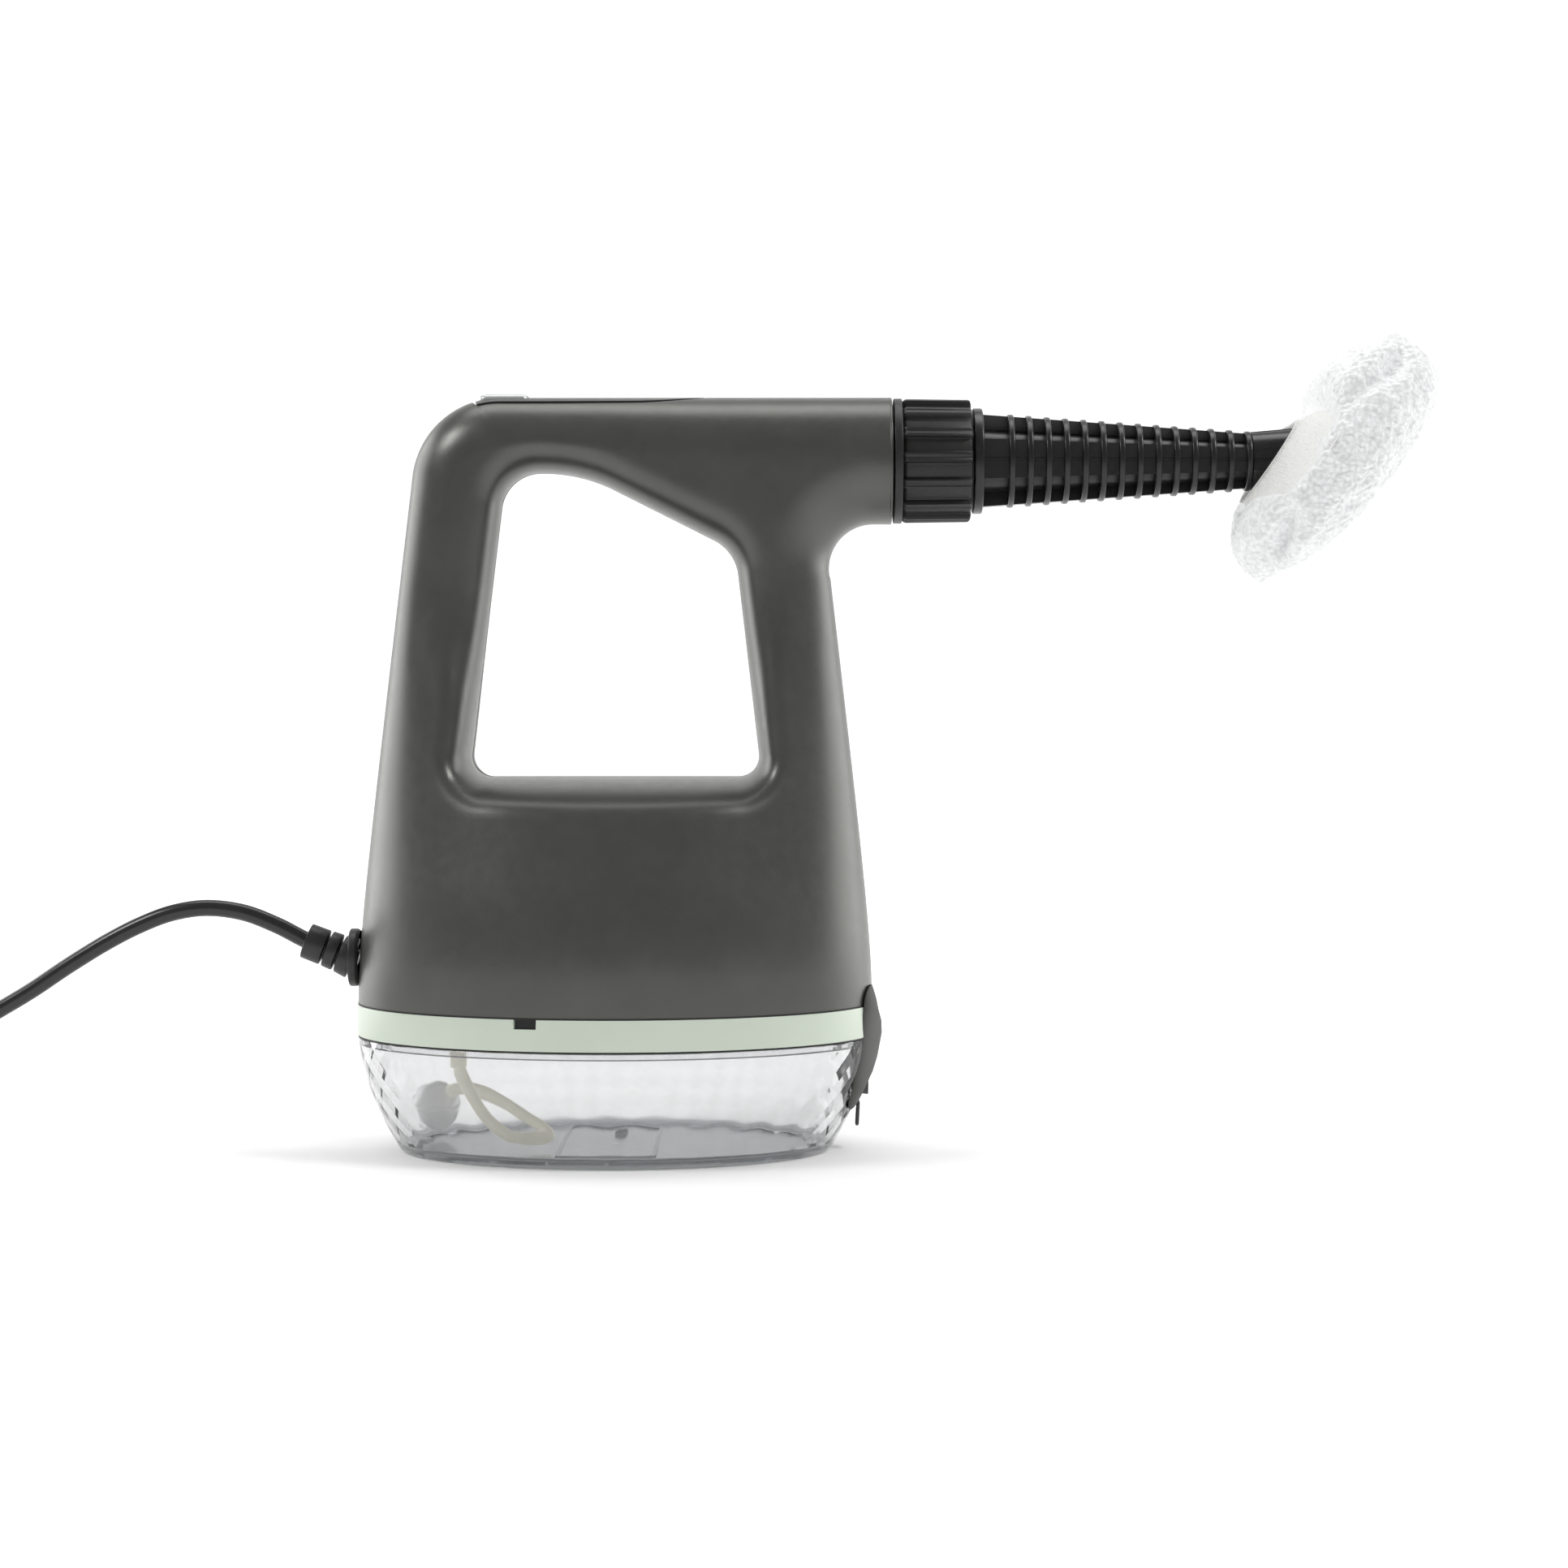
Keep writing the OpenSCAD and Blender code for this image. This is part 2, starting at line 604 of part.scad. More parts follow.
// Cord entry: flange in the casing, slotted strain relief, cord, coil and plug
relief_tilt = 21;
relief_l = 18;
flange_x = -98.4;
module cord_flange() {
    color([0.12, 0.12, 0.12]) difference() {
        union() {
            translate([flange_x - 3, 0, gland_z]) rotate([0, 90, 0]) cylinder(r = 11, h = 3);
            translate([flange_x - 0.1, 0, gland_z]) rotate([0, 90, 0]) cylinder(r = gland_r, h = 8);
            translate([flange_x + 5, 0, gland_z]) rotate([0, 90, 0]) cylinder(r = gland_r + 1.6, h = 3);
        }
        translate([flange_x - 5, 0, gland_z]) rotate([0, 90, 0]) cylinder(r = cord_d / 2 + 0.05, h = 20);
    }
}
module strain_relief() {
    color([0.1, 0.1, 0.1]) translate([flange_x - 3.05, 0, gland_z]) rotate([0, relief_tilt, 0]) difference() {
        rotate([0, -90, 0]) difference() {
            cylinder(r1 = 8, r2 = 6.2, h = relief_l);
            for (i = [0:2], s = [-1, 1]) translate([s * 9, 0, 4 + 5 * i]) cube([8, 20, 2], center = true);
            translate([0, 0, -1]) cylinder(r = cord_d / 2 + 0.03, h = relief_l + 2);
        }
        rotate([0, -relief_tilt, 0]) translate([0, -15, -15]) cube([30, 30, 30]);
    }
}
cord_route = [[-118, 0, 79.4], [-129, 0, 85], [-142, 0, 90], [-156, 0, 91.8], [-169, 0, 90], [-181, 0, 85.6],
    [-194, 0, 79], [-209, 0, 69.8], [-223, 0, 60.4], [-236, 0, 52.6], [-250, 0, 44.5], [-264, 0, 36.6],
    [-278, 0, 29.6], [-292, 0, 23.6], [-305, 0, 19.6]];
coil_at = [-312, 37, 1];
coil_w = 3 * cord_d;
module power_cord() {
    color([0.1, 0.1, 0.1]) tube(smooth(cord_route, 2), cord_d / 2, 10);
}
module cord_coil() {
    color([0.1, 0.1, 0.1]) translate(coil_at) rotate_extrude($fn = 64)
        translate([coil_r - coil_w / 2, 0])
            polygon([[2, 0], [coil_w - 2, 0], [coil_w, 2], [coil_w, coil_w - 2],
            [coil_w - 2, coil_w], [2, coil_w], [0, coil_w - 2], [0, 2]]);
}
module coil_tie() {
    color([0.15, 0.15, 0.15])
        translate([coil_at[0] - coil_w / 2 - 1.2, coil_at[1] + coil_r - coil_w / 2 - 1.2, 0])
        translate([coil_w / 2 - 4, 0, 0]) difference() {
            cube([10, coil_w + 2.4, coil_w + 2.2]);
            translate([-1, 0.9, 0.9]) cube([12, coil_w + 0.6, coil_w + 0.4]);
        }
}
plug_at = [-355.4, 68, 7.6];
pin_r = 2.4;
pin_gap = 19;
pin_l = 18.2;
pin_root = 1.8;
module plug_body() {
    color([0.1, 0.1, 0.1]) difference() {
        union() {
            translate(plug_at) rotate([-90, 0, 0]) cylinder(r1 = 4.6, r2 = 6.5, h = 14);
            translate(plug_at + [0, 12, 0]) rotate([-90, 0, 0]) linear_extrude(24) hull()
                for (s = [-1, 1]) translate([s * 10, 0]) circle(r = 7.4, $fn = 40);
        }
        for (s = [-1, 1]) translate(plug_at + [s * pin_gap / 2, 28, 0])
            rotate([-90, 0, 0]) cylinder(r = pin_root, h = 20);
    }
}
module plug_pins() {
    color("silver") for (s = [-1, 1]) translate(plug_at + [s * pin_gap / 2, 28, 0]) rotate([-90, 0, 0]) {
        cylinder(r = pin_root, h = 9);
        translate([0, 0, 8]) cylinder(r = pin_r, h = pin_l);
        translate([0, 0, 8 + pin_l]) cylinder(r1 = pin_r, r2 = pin_r - 0.8, h = 0.8);
    }
}

// Everything turned about the barrel's axis: profiles give [radius, distance along X]
module turned(profile, fn = 96) { along_x(0) rotate_extrude($fn = fn) polygon(profile); }
hub_r = 14.4;
module outlet_spigot() {
    color([0.16, 0.16, 0.16]) difference() {
        turned([[3, 94], [6, 94], [6, 99.4], [20, 99.4], [20, 102.2], [hub_r, 102.2], [hub_r, 112],
            [15.4, 112],
            [15.4, 113.2], [8, 114], [8, 128], [3, 128]]);
        for (a = [45:90:315]) along_x(98) rotate([0, 0, a]) translate([spigot_screw, 0, 0])
            cylinder(r = screw_r + 0.05, h = 6);
        along_x(118.4) difference() {
            cylinder(r = 9, h = 2.2);
            translate([0, 0, -1]) cylinder(r = 6.8, h = 5);
        }
    }
}
module o_ring(x, r, w) { along_x(x) rotate_extrude($fn = 64) translate([r, 0]) circle(r = w, $fn = 24); }
module spigot_seal() { color([0.6, 0.2, 0.15]) o_ring(119.5, 7.95, 1.08); }
module spigot_screws() {
    color("silver") for (a = [45:90:315]) along_x(99.4) rotate([0, 0, a]) translate([spigot_screw, 0, 0])
        mirror([0, 0, 1]) translate([0, 0, -5]) screw(5, 2.4);
}
module lock_collar() {
    color([0.13, 0.13, 0.13]) {
        turned([[hub_r + 0.05, 106], [23.85, 106], [23.85, 109.2], [22.2, 109.8], [21.9, 135.2], [17, 135.2],
            [17, 111.9], [hub_r + 0.05, 111.9]]);
        for (i = [0:collar_ribs - 1]) along_x(110) rotate([0, 0, 360 * i / collar_ribs])
            translate([21.4, -3.1, 0]) cube([1.8, 6.2, 24.9]);
    }
}
nozzle_x0 = 114.6;
nozzle_x1 = 242.2;
nozzle_wall = 2.6;
function nozzle_r(x) = 17.5 - (x - 140) * 0.0705;
module extension_nozzle() {
    color([0.12, 0.12, 0.12]) {
        turned([[9.1, nozzle_x0], [13.5, nozzle_x0], [13.5, 136.2], [20.15, 136.2], [20.15, 139.8],
            [nozzle_r(140), 140.2],
            [nozzle_r(nozzle_x1), nozzle_x1], [7.2, nozzle_x1], [7.2, 226], [5, 226], [5, 222],
            [nozzle_r(218) - nozzle_wall, 218], [nozzle_r(142) - nozzle_wall, 142], [9.1, 136]]);
        for (i = [0:ring_count - 1]) {
            x = nozzle_x1 - ring_w - (ring_count - 1 - i) * ring_pitch;
            along_x(x) difference() {
                cylinder(r = nozzle_r(x) + 0.95, h = ring_w, $fn = 96);
                translate([0, 0, -1]) cylinder(r = nozzle_r(x) - 1.5, h = ring_w + 2, $fn = 96);
            }
        }
        for (a = [0, 180]) along_x(128) rotate([0, 0, a]) translate([12.6, -3, 0]) cube([3.2, 6, 3]);
    }
}
module nozzle_seal() { color([0.6, 0.2, 0.15]) o_ring(230.6, 6.1, 1.05); }

// Cleaning head: stem, flared neck and a tilted oval plate under the cloth
head_at = [278, 0, 264];
plate_r = 38;
module tilted() { translate(head_at) rotate([0, head_tilt, 0]) children(); }
module across(n0, r, h, r2 = 0) {
    tilted() scale([1, 0.94, 1]) rotate([0, 90, 0]) translate([0, 0, n0])
        cylinder(r1 = r, r2 = r2 > 0 ? r2 : r, h = h, $fn = 96);
}
module tool_head() {
    color([0.1, 0.1, 0.1]) difference() {
        union() {
            turned([[0, 227], [5.05, 227], [5.05, 229.4], [4.9, 229.4], [4.9, 231.8], [5.05, 231.8],
                [7.1, 233],
                [7.1, 242.4], [11, 242.4], [12.6, 262], [13.4, 284], [0, 284]]);
            across(-3, plate_r - 2, 9, plate_r);
        }
        across(6, 60, 30);
        across(-0.5, plate_r - 5, 4);
        along_x(226) cylinder(r = 3.4, h = 54);
        for (a = [0:60:300]) tilted() rotate([a, 0, 0]) translate([2, 0, 18])
            rotate([0, 90, 0]) cylinder(r = 2, h = 9);
    }
}
cuff_r = 16;
module bonnet() {
    color([0.95, 0.97, 0.97]) difference() {
        tilted() scale([cover_t / 100, cover_w / 100, cover_l / 100]) sphere(r = 50, $fn = 64);
        across(-4, plate_r + 0.8, 11);
        along_x(220) cylinder(r = cuff_r + 0.3, h = 64, $fn = 64);
    }
}
module bonnet_elastic() {
    color([0.93, 0.92, 0.88]) intersection() {
        along_x(230) difference() {
            cylinder(r = cuff_r, h = 44, $fn = 96);
            translate([0, 0, -1]) cylinder(r = cuff_r - 2.6, h = 50, $fn = 96);
        }
        across(-24, 60, 9);
    }
}

module wire(points) { tube(smooth(points, 3), 1.1, 6, unit([0.35, 1, 0.2])); }
module wiring() {
    color([0.35, 0.2, 0.15]) wire([[-75, 20, 73], [-74, 20, 90], [-76, 18, 118],
        [-79, 10, 148], [-78.5, 8, 172], [-74, 8, 205], [-70, 8, 235], [-64, 9, 248], [-56, 9, 260],
        [-52.5, 6.5, 268], [-52.5, 3.4, 268]]);
    color([0.2, 0.3, 0.6]) wire([[-61, 20, 73], [-60, 20, 90], [-60, 18, 118],
        [-60.5, 12, 148], [-60, 9, 172], [-58, 9, 205], [-56, 9, 232], [-53, 9, 246],
        [-47, 9, 259], [-44, 6.5, 268], [-44, 3.4, 268]]);
}

casing_right();
casing_left();
casing_screws();
top_panel();
steam_button();
button_spring();
microswitch();
indicator_board();
trim_band();
tank();
tank_gasket();
filler_stopper();
chassis_plate();
chassis_screws();
hose_fitting();
pickup_hose();
pickup_weight();
pump();
pump_cradles();
boiler_block();
boiler_screws();
heater_terminals();
thermostat();
thermal_fuse();
feed_hose();
steam_hose();
hose_clips();
terminal_block();
cord_clamp();
clamp_screws();
cord_flange();
strain_relief();
power_cord();
cord_coil();
coil_tie();
plug_body();
plug_pins();
outlet_spigot();
spigot_seal();
spigot_screws();
lock_collar();
extension_nozzle();
nozzle_seal();
tool_head();
bonnet();
bonnet_elastic();
wiring();
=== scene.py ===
"""Looks for a handheld steamer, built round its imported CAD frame.

Shapes are worked out in millimetres in the part's own frame: X forwards along the nozzle, Z up,
origin at the centre of the tank's foot. They are scaled to metres when a mesh is made.
"""

import json
import math

import bpy
import numpy as np
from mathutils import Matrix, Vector, noise


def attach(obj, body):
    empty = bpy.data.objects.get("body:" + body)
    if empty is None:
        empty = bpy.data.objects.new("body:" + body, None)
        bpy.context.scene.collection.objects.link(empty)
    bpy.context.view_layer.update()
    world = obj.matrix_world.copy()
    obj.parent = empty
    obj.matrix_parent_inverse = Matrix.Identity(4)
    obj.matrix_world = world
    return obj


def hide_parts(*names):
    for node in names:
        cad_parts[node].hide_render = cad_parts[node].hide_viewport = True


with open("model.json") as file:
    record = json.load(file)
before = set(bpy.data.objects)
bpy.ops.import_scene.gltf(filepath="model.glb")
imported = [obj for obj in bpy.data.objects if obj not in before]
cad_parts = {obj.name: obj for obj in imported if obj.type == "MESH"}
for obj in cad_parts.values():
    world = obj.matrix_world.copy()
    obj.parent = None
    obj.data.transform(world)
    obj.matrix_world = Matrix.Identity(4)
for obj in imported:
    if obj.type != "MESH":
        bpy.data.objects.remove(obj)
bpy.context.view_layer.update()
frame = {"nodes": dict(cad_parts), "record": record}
scene = bpy.context.scene
MM = 0.001


# ---------------------------------------------------------------- camera, light and floor
EYE = (0.0643, -1.24, 0.18135)
LENS = 74.5
SHIFT_DOWN = 0.0704
WORLD_LIGHT = 0.26


def add_camera():
    data = bpy.data.cameras.new("camera")
    data.lens, data.sensor_width, data.shift_y = LENS, 36, -SHIFT_DOWN
    data.clip_start, data.clip_end = 0.05, 30
    camera = bpy.data.objects.new("camera", data)
    camera.location = EYE
    camera.rotation_euler = (math.radians(90), 0, 0)
    scene.collection.objects.link(camera)
    scene.camera = camera


def add_area(name, place, aim, size, power):
    data = bpy.data.lights.new(name, "AREA")
    data.shape, data.size, data.size_y, data.energy = "RECTANGLE", size[0], size[1], power
    light = bpy.data.objects.new(name, data)
    light.location = place
    light.rotation_euler = (Vector(aim) - Vector(place)).to_track_quat("-Z", "Y").to_euler()
    scene.collection.objects.link(light)


def add_studio():
    world = bpy.data.worlds.new("studio")
    world.use_nodes = True
    world.node_tree.nodes["Background"].inputs["Color"].default_value = (1, 1, 1, 1)
    world.node_tree.nodes["Background"].inputs["Strength"].default_value = WORLD_LIGHT
    scene.world = world
    scene.view_settings.view_transform = "Standard"
    target = (0.05, 0, 0.15)
    add_area("key_left", (-1.15, -0.45, 1.3), target, (0.5, 0.4), 8)
    add_area("key_right", (1.15, -0.45, 1.5), target, (0.45, 0.35), 11)
    add_area("left_box", (-1.35, 0.7, 0.4), target, (1.1, 1.4), 13)
    add_area("right_box", (1.45, 0.7, 0.4), target, (1.1, 1.4), 11)
    add_area("top_light", (0.05, 0.3, 1.5), target, (1.4, 0.6), 8)


# The floor's own glow near the object and at the backdrop, and where along Y it changes
FLOOR_GLOW, BACKDROP_GLOW = 0.13, 0.52
GLOW_FROM, GLOW_TO = 0.1, 1.5


def add_floor():
    """Pale floor that sweeps up behind the object."""
    reach, flat, rise, bend = 4.0, 1.6, 3.0, 1.2
    line = [(-reach, 0), (flat, 0)]
    for a in np.linspace(0, math.pi / 2, 24)[1:]:
        line.append((flat + bend * math.sin(a), bend - bend * math.cos(a)))
    line.append((flat + bend, rise))
    verts = [(x, y, z) for y, z in line for x in (-reach, reach)]
    faces = [(2 * i, 2 * i + 1, 2 * i + 3, 2 * i + 2) for i in range(len(line) - 1)]
    mesh = bpy.data.meshes.new("floor")
    mesh.from_pydata(verts, [], faces)
    mesh.shade_smooth()
    floor = bpy.data.objects.new("floor", mesh)
    scene.collection.objects.link(floor)
    paper = plain("floor_paper", (0.93, 0.93, 0.93), 0.9, grain=0.02, lump=(300, 0.02),
                  Emission_Color=(1, 1, 1, 1))
    tree = paper.node_tree
    where = tree.nodes.new("ShaderNodeTexCoord")
    split = tree.nodes.new("ShaderNodeSeparateXYZ")
    tree.links.new(where.outputs["Object"], split.inputs[0])
    fade = remap(tree, split.outputs["Y"], From_Min=GLOW_FROM, From_Max=GLOW_TO,
                 To_Min=FLOOR_GLOW, To_Max=BACKDROP_GLOW)
    fade.node.interpolation_type = "SMOOTHSTEP"
    tree.links.new(fade, tree.nodes["Principled BSDF"].inputs["Emission Strength"])
    mesh.materials.append(paper)


# ---------------------------------------------------------------- materials
def remap(tree, value, **ends):
    """Output of a Map Range node on a value; ends are its limits."""
    node = tree.nodes.new("ShaderNodeMapRange")
    for end, limit in ends.items():
        node.inputs[end.replace("_", " ")].default_value = limit
    tree.links.new(value, node.inputs["Value"])
    return node.outputs["Result"]


def plain(name, color, rough, metal=0.0, grain=0.06, lump=(1400, 0.08), fine=90.0, **sockets):
    """Principled material with cloudy colour and roughness, and a fine bump.

    grain is how much the colour varies, lump the bump's scale per metre and strength, fine the
    scale of the colour clouds, and sockets are further constants on the shader.
    """
    material = bpy.data.materials.new(name)
    material.use_nodes = True
    tree = material.node_tree
    shader = tree.nodes["Principled BSDF"]
    shader.inputs["Metallic"].default_value = metal
    for key, value in sockets.items():
        shader.inputs[key.replace("_", " ")].default_value = value
    place = tree.nodes.new("ShaderNodeTexCoord").outputs["Object"]

    def clouds(scale, detail):
        node = tree.nodes.new("ShaderNodeTexNoise")
        node.inputs["Scale"].default_value = scale
        node.inputs["Detail"].default_value = detail
        tree.links.new(place, node.inputs["Vector"])
        return node.outputs["Fac"]

    soft = clouds(fine, 4)
    ramp = tree.nodes.new("ShaderNodeValToRGB")
    for element, side in zip(ramp.color_ramp.elements, (-1, 1)):
        element.color = [min(1, max(0, c * (1 + side * grain))) for c in color] + [1]
        element.position = 0.5 + 0.2 * side
    tree.links.new(soft, ramp.inputs["Fac"])
    tree.links.new(ramp.outputs["Color"], shader.inputs["Base Color"])
    spread = remap(tree, clouds(fine * 4, 3), To_Min=max(0, rough - 0.06), To_Max=min(1, rough + 0.06))
    tree.links.new(spread, shader.inputs["Roughness"])
    bump = tree.nodes.new("ShaderNodeBump")
    bump.inputs["Strength"].default_value = lump[1]
    bump.inputs["Distance"].default_value = 0.0004
    tree.links.new(clouds(lump[0], 2), bump.inputs["Height"])
    tree.links.new(bump.outputs["Normal"], shader.inputs["Normal"])
    return material


def looped(material, scale, depth, shade):
    """Adds a pile of loops: scale per metre, bump depth in metres, and how dark the painted shade in the gaps
    between loops is.
    """
    tree = material.node_tree
    shader = tree.nodes["Principled BSDF"]
    cells = tree.nodes.new("ShaderNodeTexVoronoi")
    cells.inputs["Scale"].default_value = scale
    cells.inputs["Randomness"].default_value = 0.9
    place = tree.nodes.new("ShaderNodeTexCoord").outputs["Object"]
    tree.links.new(place, cells.inputs["Vector"])
    height = remap(tree, cells.outputs["Distance"], To_Min=1, To_Max=0)
    bump = tree.nodes.new("ShaderNodeBump")
    bump.inputs["Distance"].default_value = depth
    tree.links.new(height, bump.inputs["Height"])
    tree.links.new(shader.inputs["Normal"].links[0].from_socket, bump.inputs["Normal"])
    tree.links.new(bump.outputs["Normal"], shader.inputs["Normal"])
    # Darkens the base colour in the gaps between loops: painted shade.
    painted_gap_shade = remap(tree, height, From_Min=0.25, From_Max=0.75, To_Min=shade)
    tint = tree.nodes.new("ShaderNodeMix")
    tint.data_type, tint.blend_type = "RGBA", "MULTIPLY"
    tint.inputs["Factor"].default_value = 1
    tree.links.new(shader.inputs["Base Color"].links[0].from_socket, tint.inputs["A"])
    tree.links.new(painted_gap_shade, tint.inputs["B"])
    tree.links.new(tint.outputs["Result"], shader.inputs["Base Color"])
    return material


def clear(name, tint, rough):
    """Clear moulded plastic."""
    return plain(name, tint, rough, grain=0.01, lump=(60, 0.03), Transmission_Weight=1.0, IOR=1.45)


# ---------------------------------------------------------------- meshes
def sheet_of(points, wrap=False):
    """Vertices and faces of a grid of points; wrap joins its last row to its first."""
    n, m, _ = points.shape
    i, j = np.meshgrid(np.arange(n if wrap else n - 1), np.arange(m - 1), indexing="ij")
    k = (i + 1) % n
    faces = np.stack([i * m + j, i * m + j + 1, k * m + j + 1, k * m + j], -1)
    return points.reshape(-1, 3), faces.reshape(-1, 4)


def turned_over(sheet):
    """The sheet with its faces turned to look the other way."""
    return sheet[0], sheet[1][:, ::-1]


def mirrored(sheet):
    """The sheet on the other side of the middle plane."""
    verts, faces = sheet
    return verts * [1, -1, 1], faces[:, ::-1]


def outwards(sheet):
    """The closed sheet with its faces turned to look outwards."""
    verts, faces = sheet
    corners = verts[faces] - verts.mean(0)
    half = np.cross(corners[:, 1], corners[:, 2]) + np.cross(corners[:, 2], corners[:, 3])
    volume = (corners[:, 0] * half).sum()
    return verts, faces[:, ::-1] if volume < 0 else faces


def placed(name, data, body, nodes):
    """Piece that rides on a body and stands for CAD nodes, which it hides."""
    piece = bpy.data.objects.new(name, data)
    scene.collection.objects.link(piece)
    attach(piece, body)
    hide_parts(*nodes)
    return piece


def build(name, sheets, material, body, nodes=(), sharp=None, skin=False):
    """One piece from several sheets in millimetres.

    sharp is the angle above which edges stay crisp, and skin says that the sheets are open ones
    that already face outwards.
    """
    verts, faces, start = [], [], 0
    if not skin:
        sheets = [outwards(sheet) for sheet in sheets]
    for points, quads in sheets:
        verts.append(points)
        faces += [f[:3] if f[2] == f[3] else f for f in (quads + start).tolist()]
        start += len(points)
    mesh = bpy.data.meshes.new(name)
    mesh.from_pydata((np.concatenate(verts) * MM).tolist(), [], faces)
    mesh.validate()
    mesh.shade_smooth()
    if sharp:
        mesh.set_sharp_from_angle(angle=math.radians(sharp))
    mesh.materials.append(material)
    return placed(name, mesh, body, nodes)


def thicken(piece, thickness):
    """Gives an open skin its wall, inwards from the skin."""
    solid = piece.modifiers.new("wall", "SOLIDIFY")
    solid.thickness = thickness * MM
    solid.offset = -1
    return piece


def rounded(line, radius, steps=4):
    """The line of points with its inner corners rounded."""
    line = np.array(line, float)
    out = [line[0]]
    for a, b, c in zip(line[:-2], line[1:-1], line[2:]):
        r = min(radius, np.linalg.norm(a - b) * 0.49, np.linalg.norm(c - b) * 0.49)
        p = b + (a - b) / np.linalg.norm(a - b) * r
        q = b + (c - b) / np.linalg.norm(c - b) * r
        for t in np.linspace(0, 1, steps + 1):
            out.append((1 - t) ** 2 * p + 2 * t * (1 - t) * b + t * t * q)
    out.append(line[-1])
    return np.array(out)


def turned(line, n=120, shape=None, height=None):
    """Sheet turned about an axis along X from (x, radius) points.

    The axis is the barrel's unless height says otherwise, and shape(x, r, angle) changes the radius.
    """
    line = np.array(line, float)
    angle = np.linspace(0, 2 * math.pi, n, endpoint=False)[:, None]
    x = np.repeat(line[None, :, 0], n, 0)
    r = np.repeat(line[None, :, 1], n, 0)
    if shape:
        r = shape(x, r, angle)
    z = BARREL_Z if height is None else height
    return sheet_of(np.stack([x, -r * np.cos(angle), z + r * np.sin(angle)], -1), wrap=True)


def upright(line, centre, n):
    """Sheet turned about an upright axis through centre from (radius, z) points."""
    angle = np.linspace(0, 2 * math.pi, n + 1)[:-1, None]
    r, z = np.array(line).T
    return sheet_of(np.stack([centre[0] + r * np.cos(angle), centre[1] + r * np.sin(angle),
                              np.repeat(z[None], n, 0)], -1), wrap=True)


def oval(line, n=288, sweep=(0, 2 * math.pi)):
    """Sheet turned about the upright axis from (half length, z) points, narrowed to the casing's plan."""
    line = np.array(line, float)
    whole = sweep[1] - sweep[0] > 6.28
    angle = np.linspace(*sweep, n, endpoint=not whole)[:, None]
    a, z = line[None, :, 0], np.repeat(line[None, :, 1], n, 0)
    return sheet_of(np.stack([a * np.cos(angle), a * PLAN * np.sin(angle), z], -1), wrap=whole)


def smooth_line(points, n):
    """Catmull-Rom line through the points, with n steps to each span."""
    p = np.array(points, float)
    p = np.vstack([p[0], p, p[-1]])
    out = []
    for a, b, c, d in zip(p[:-3], p[1:-2], p[2:-1], p[3:]):
        for t in np.arange(n) / n:
            out.append(0.5 * (2 * b + (c - a) * t + (2 * a - 5 * b + 4 * c - d) * t * t
                              + (3 * b - a - 3 * c + d) * t ** 3))
    return np.array(out + [p[-1]])


def tube_curve(name, path, radius, material, body, nodes=()):
    """Round cord or hose along a path in millimetres."""
    data = bpy.data.curves.new(name, "CURVE")
    data.dimensions, data.bevel_depth, data.bevel_resolution = "3D", radius * MM, 5
    data.use_fill_caps = True
    spline = data.splines.new("POLY")
    spline.points.add(len(path) - 1)
    spline.points.foreach_set("co", np.hstack([path * MM, np.ones((len(path), 1))]).ravel())
    spline.use_smooth = True
    data.materials.append(material)
    return placed(name, data, body, nodes)


# ---------------------------------------------------------------- sizes shared with the part
FOOT_A, FOOT_B, FOOT_Z, LEAN, KNEE = 97.9, 67, 56.4, 0.118, 30
HANDLE_T, BARREL_R, BARREL_Z, BARREL_X = 20.5, 24.2, 262.5, 105.3
CORNER_R, CORNER_X, THROAT_R, THROAT_X = 34, -43.8, 17, 98.5
TOP_Z, LOW_Z = BARREL_Z + BARREL_R, BARREL_Z - BARREL_R
THROAT_Z = LOW_Z - THROAT_R
PLAN = FOOT_B / FOOT_A
OPENING = [(-55.7, 142, 8), (55.7, 142, 8), (45.7, 228, 17), (-13.3, 257.8, 60), (-42, 257.8, 15)]
OPENING_EDGE, OPENING_POWER = 14, 2.5
WALL = 2.4
BAND_A, TANK_H, TANK_FOOT_A = 98.3, 43.7, 81.5


def ease(t):
    t = np.clip(t, 0, 1)
    return t * t * (3 - 2 * t)


def mix(a, b, t):
    return a + (b - a) * ease(t)


def side_x(z):
    t = np.maximum(0, np.asarray(z, float) - FOOT_Z)
    return FOOT_A - LEAN * (np.sqrt(t * t + KNEE ** 2) - KNEE)


# ---------------------------------------------------------------- mains cord
RELIEF_TILT = math.radians(21)
CORD_R = 3.2
CORD_IN = [(-98, 0, 73), (-106, 0, 75)]
CORD_ROUTE = [(-118, 0, 79.4), (-129, 0, 85), (-142, 0, 90), (-156, 0, 91.8), (-169, 0, 90), (-181, 0, 85.6),
              (-194, 0, 79), (-209, 0, 69.8), (-223, 0, 60.4), (-236, 0, 52.6), (-250, 0, 44.5),
              (-264, 0, 36.6), (-278, 0, 29.6), (-292, 0, 23.6), (-305, 0, 19.6)]
COIL_AT, COIL_R, COIL_Z = (-312, 37), 37, 1
PLUG_AT = (-355.4, 68, 7.6)
# Where the coil steps sideways or down: turn at the step's start, radial step and step down, in cords
COIL_STEPS = [(0.80, 1, 0), (1.68, 0, 1), (2.56, -1, 0), (3.44, -1, 0), (4.32, 0, 1), (5.20, 1, 0),
              (6.08, 1, 0)]
COIL_STEP_TURNS = 0.2
COIL_TURNS = 7.25


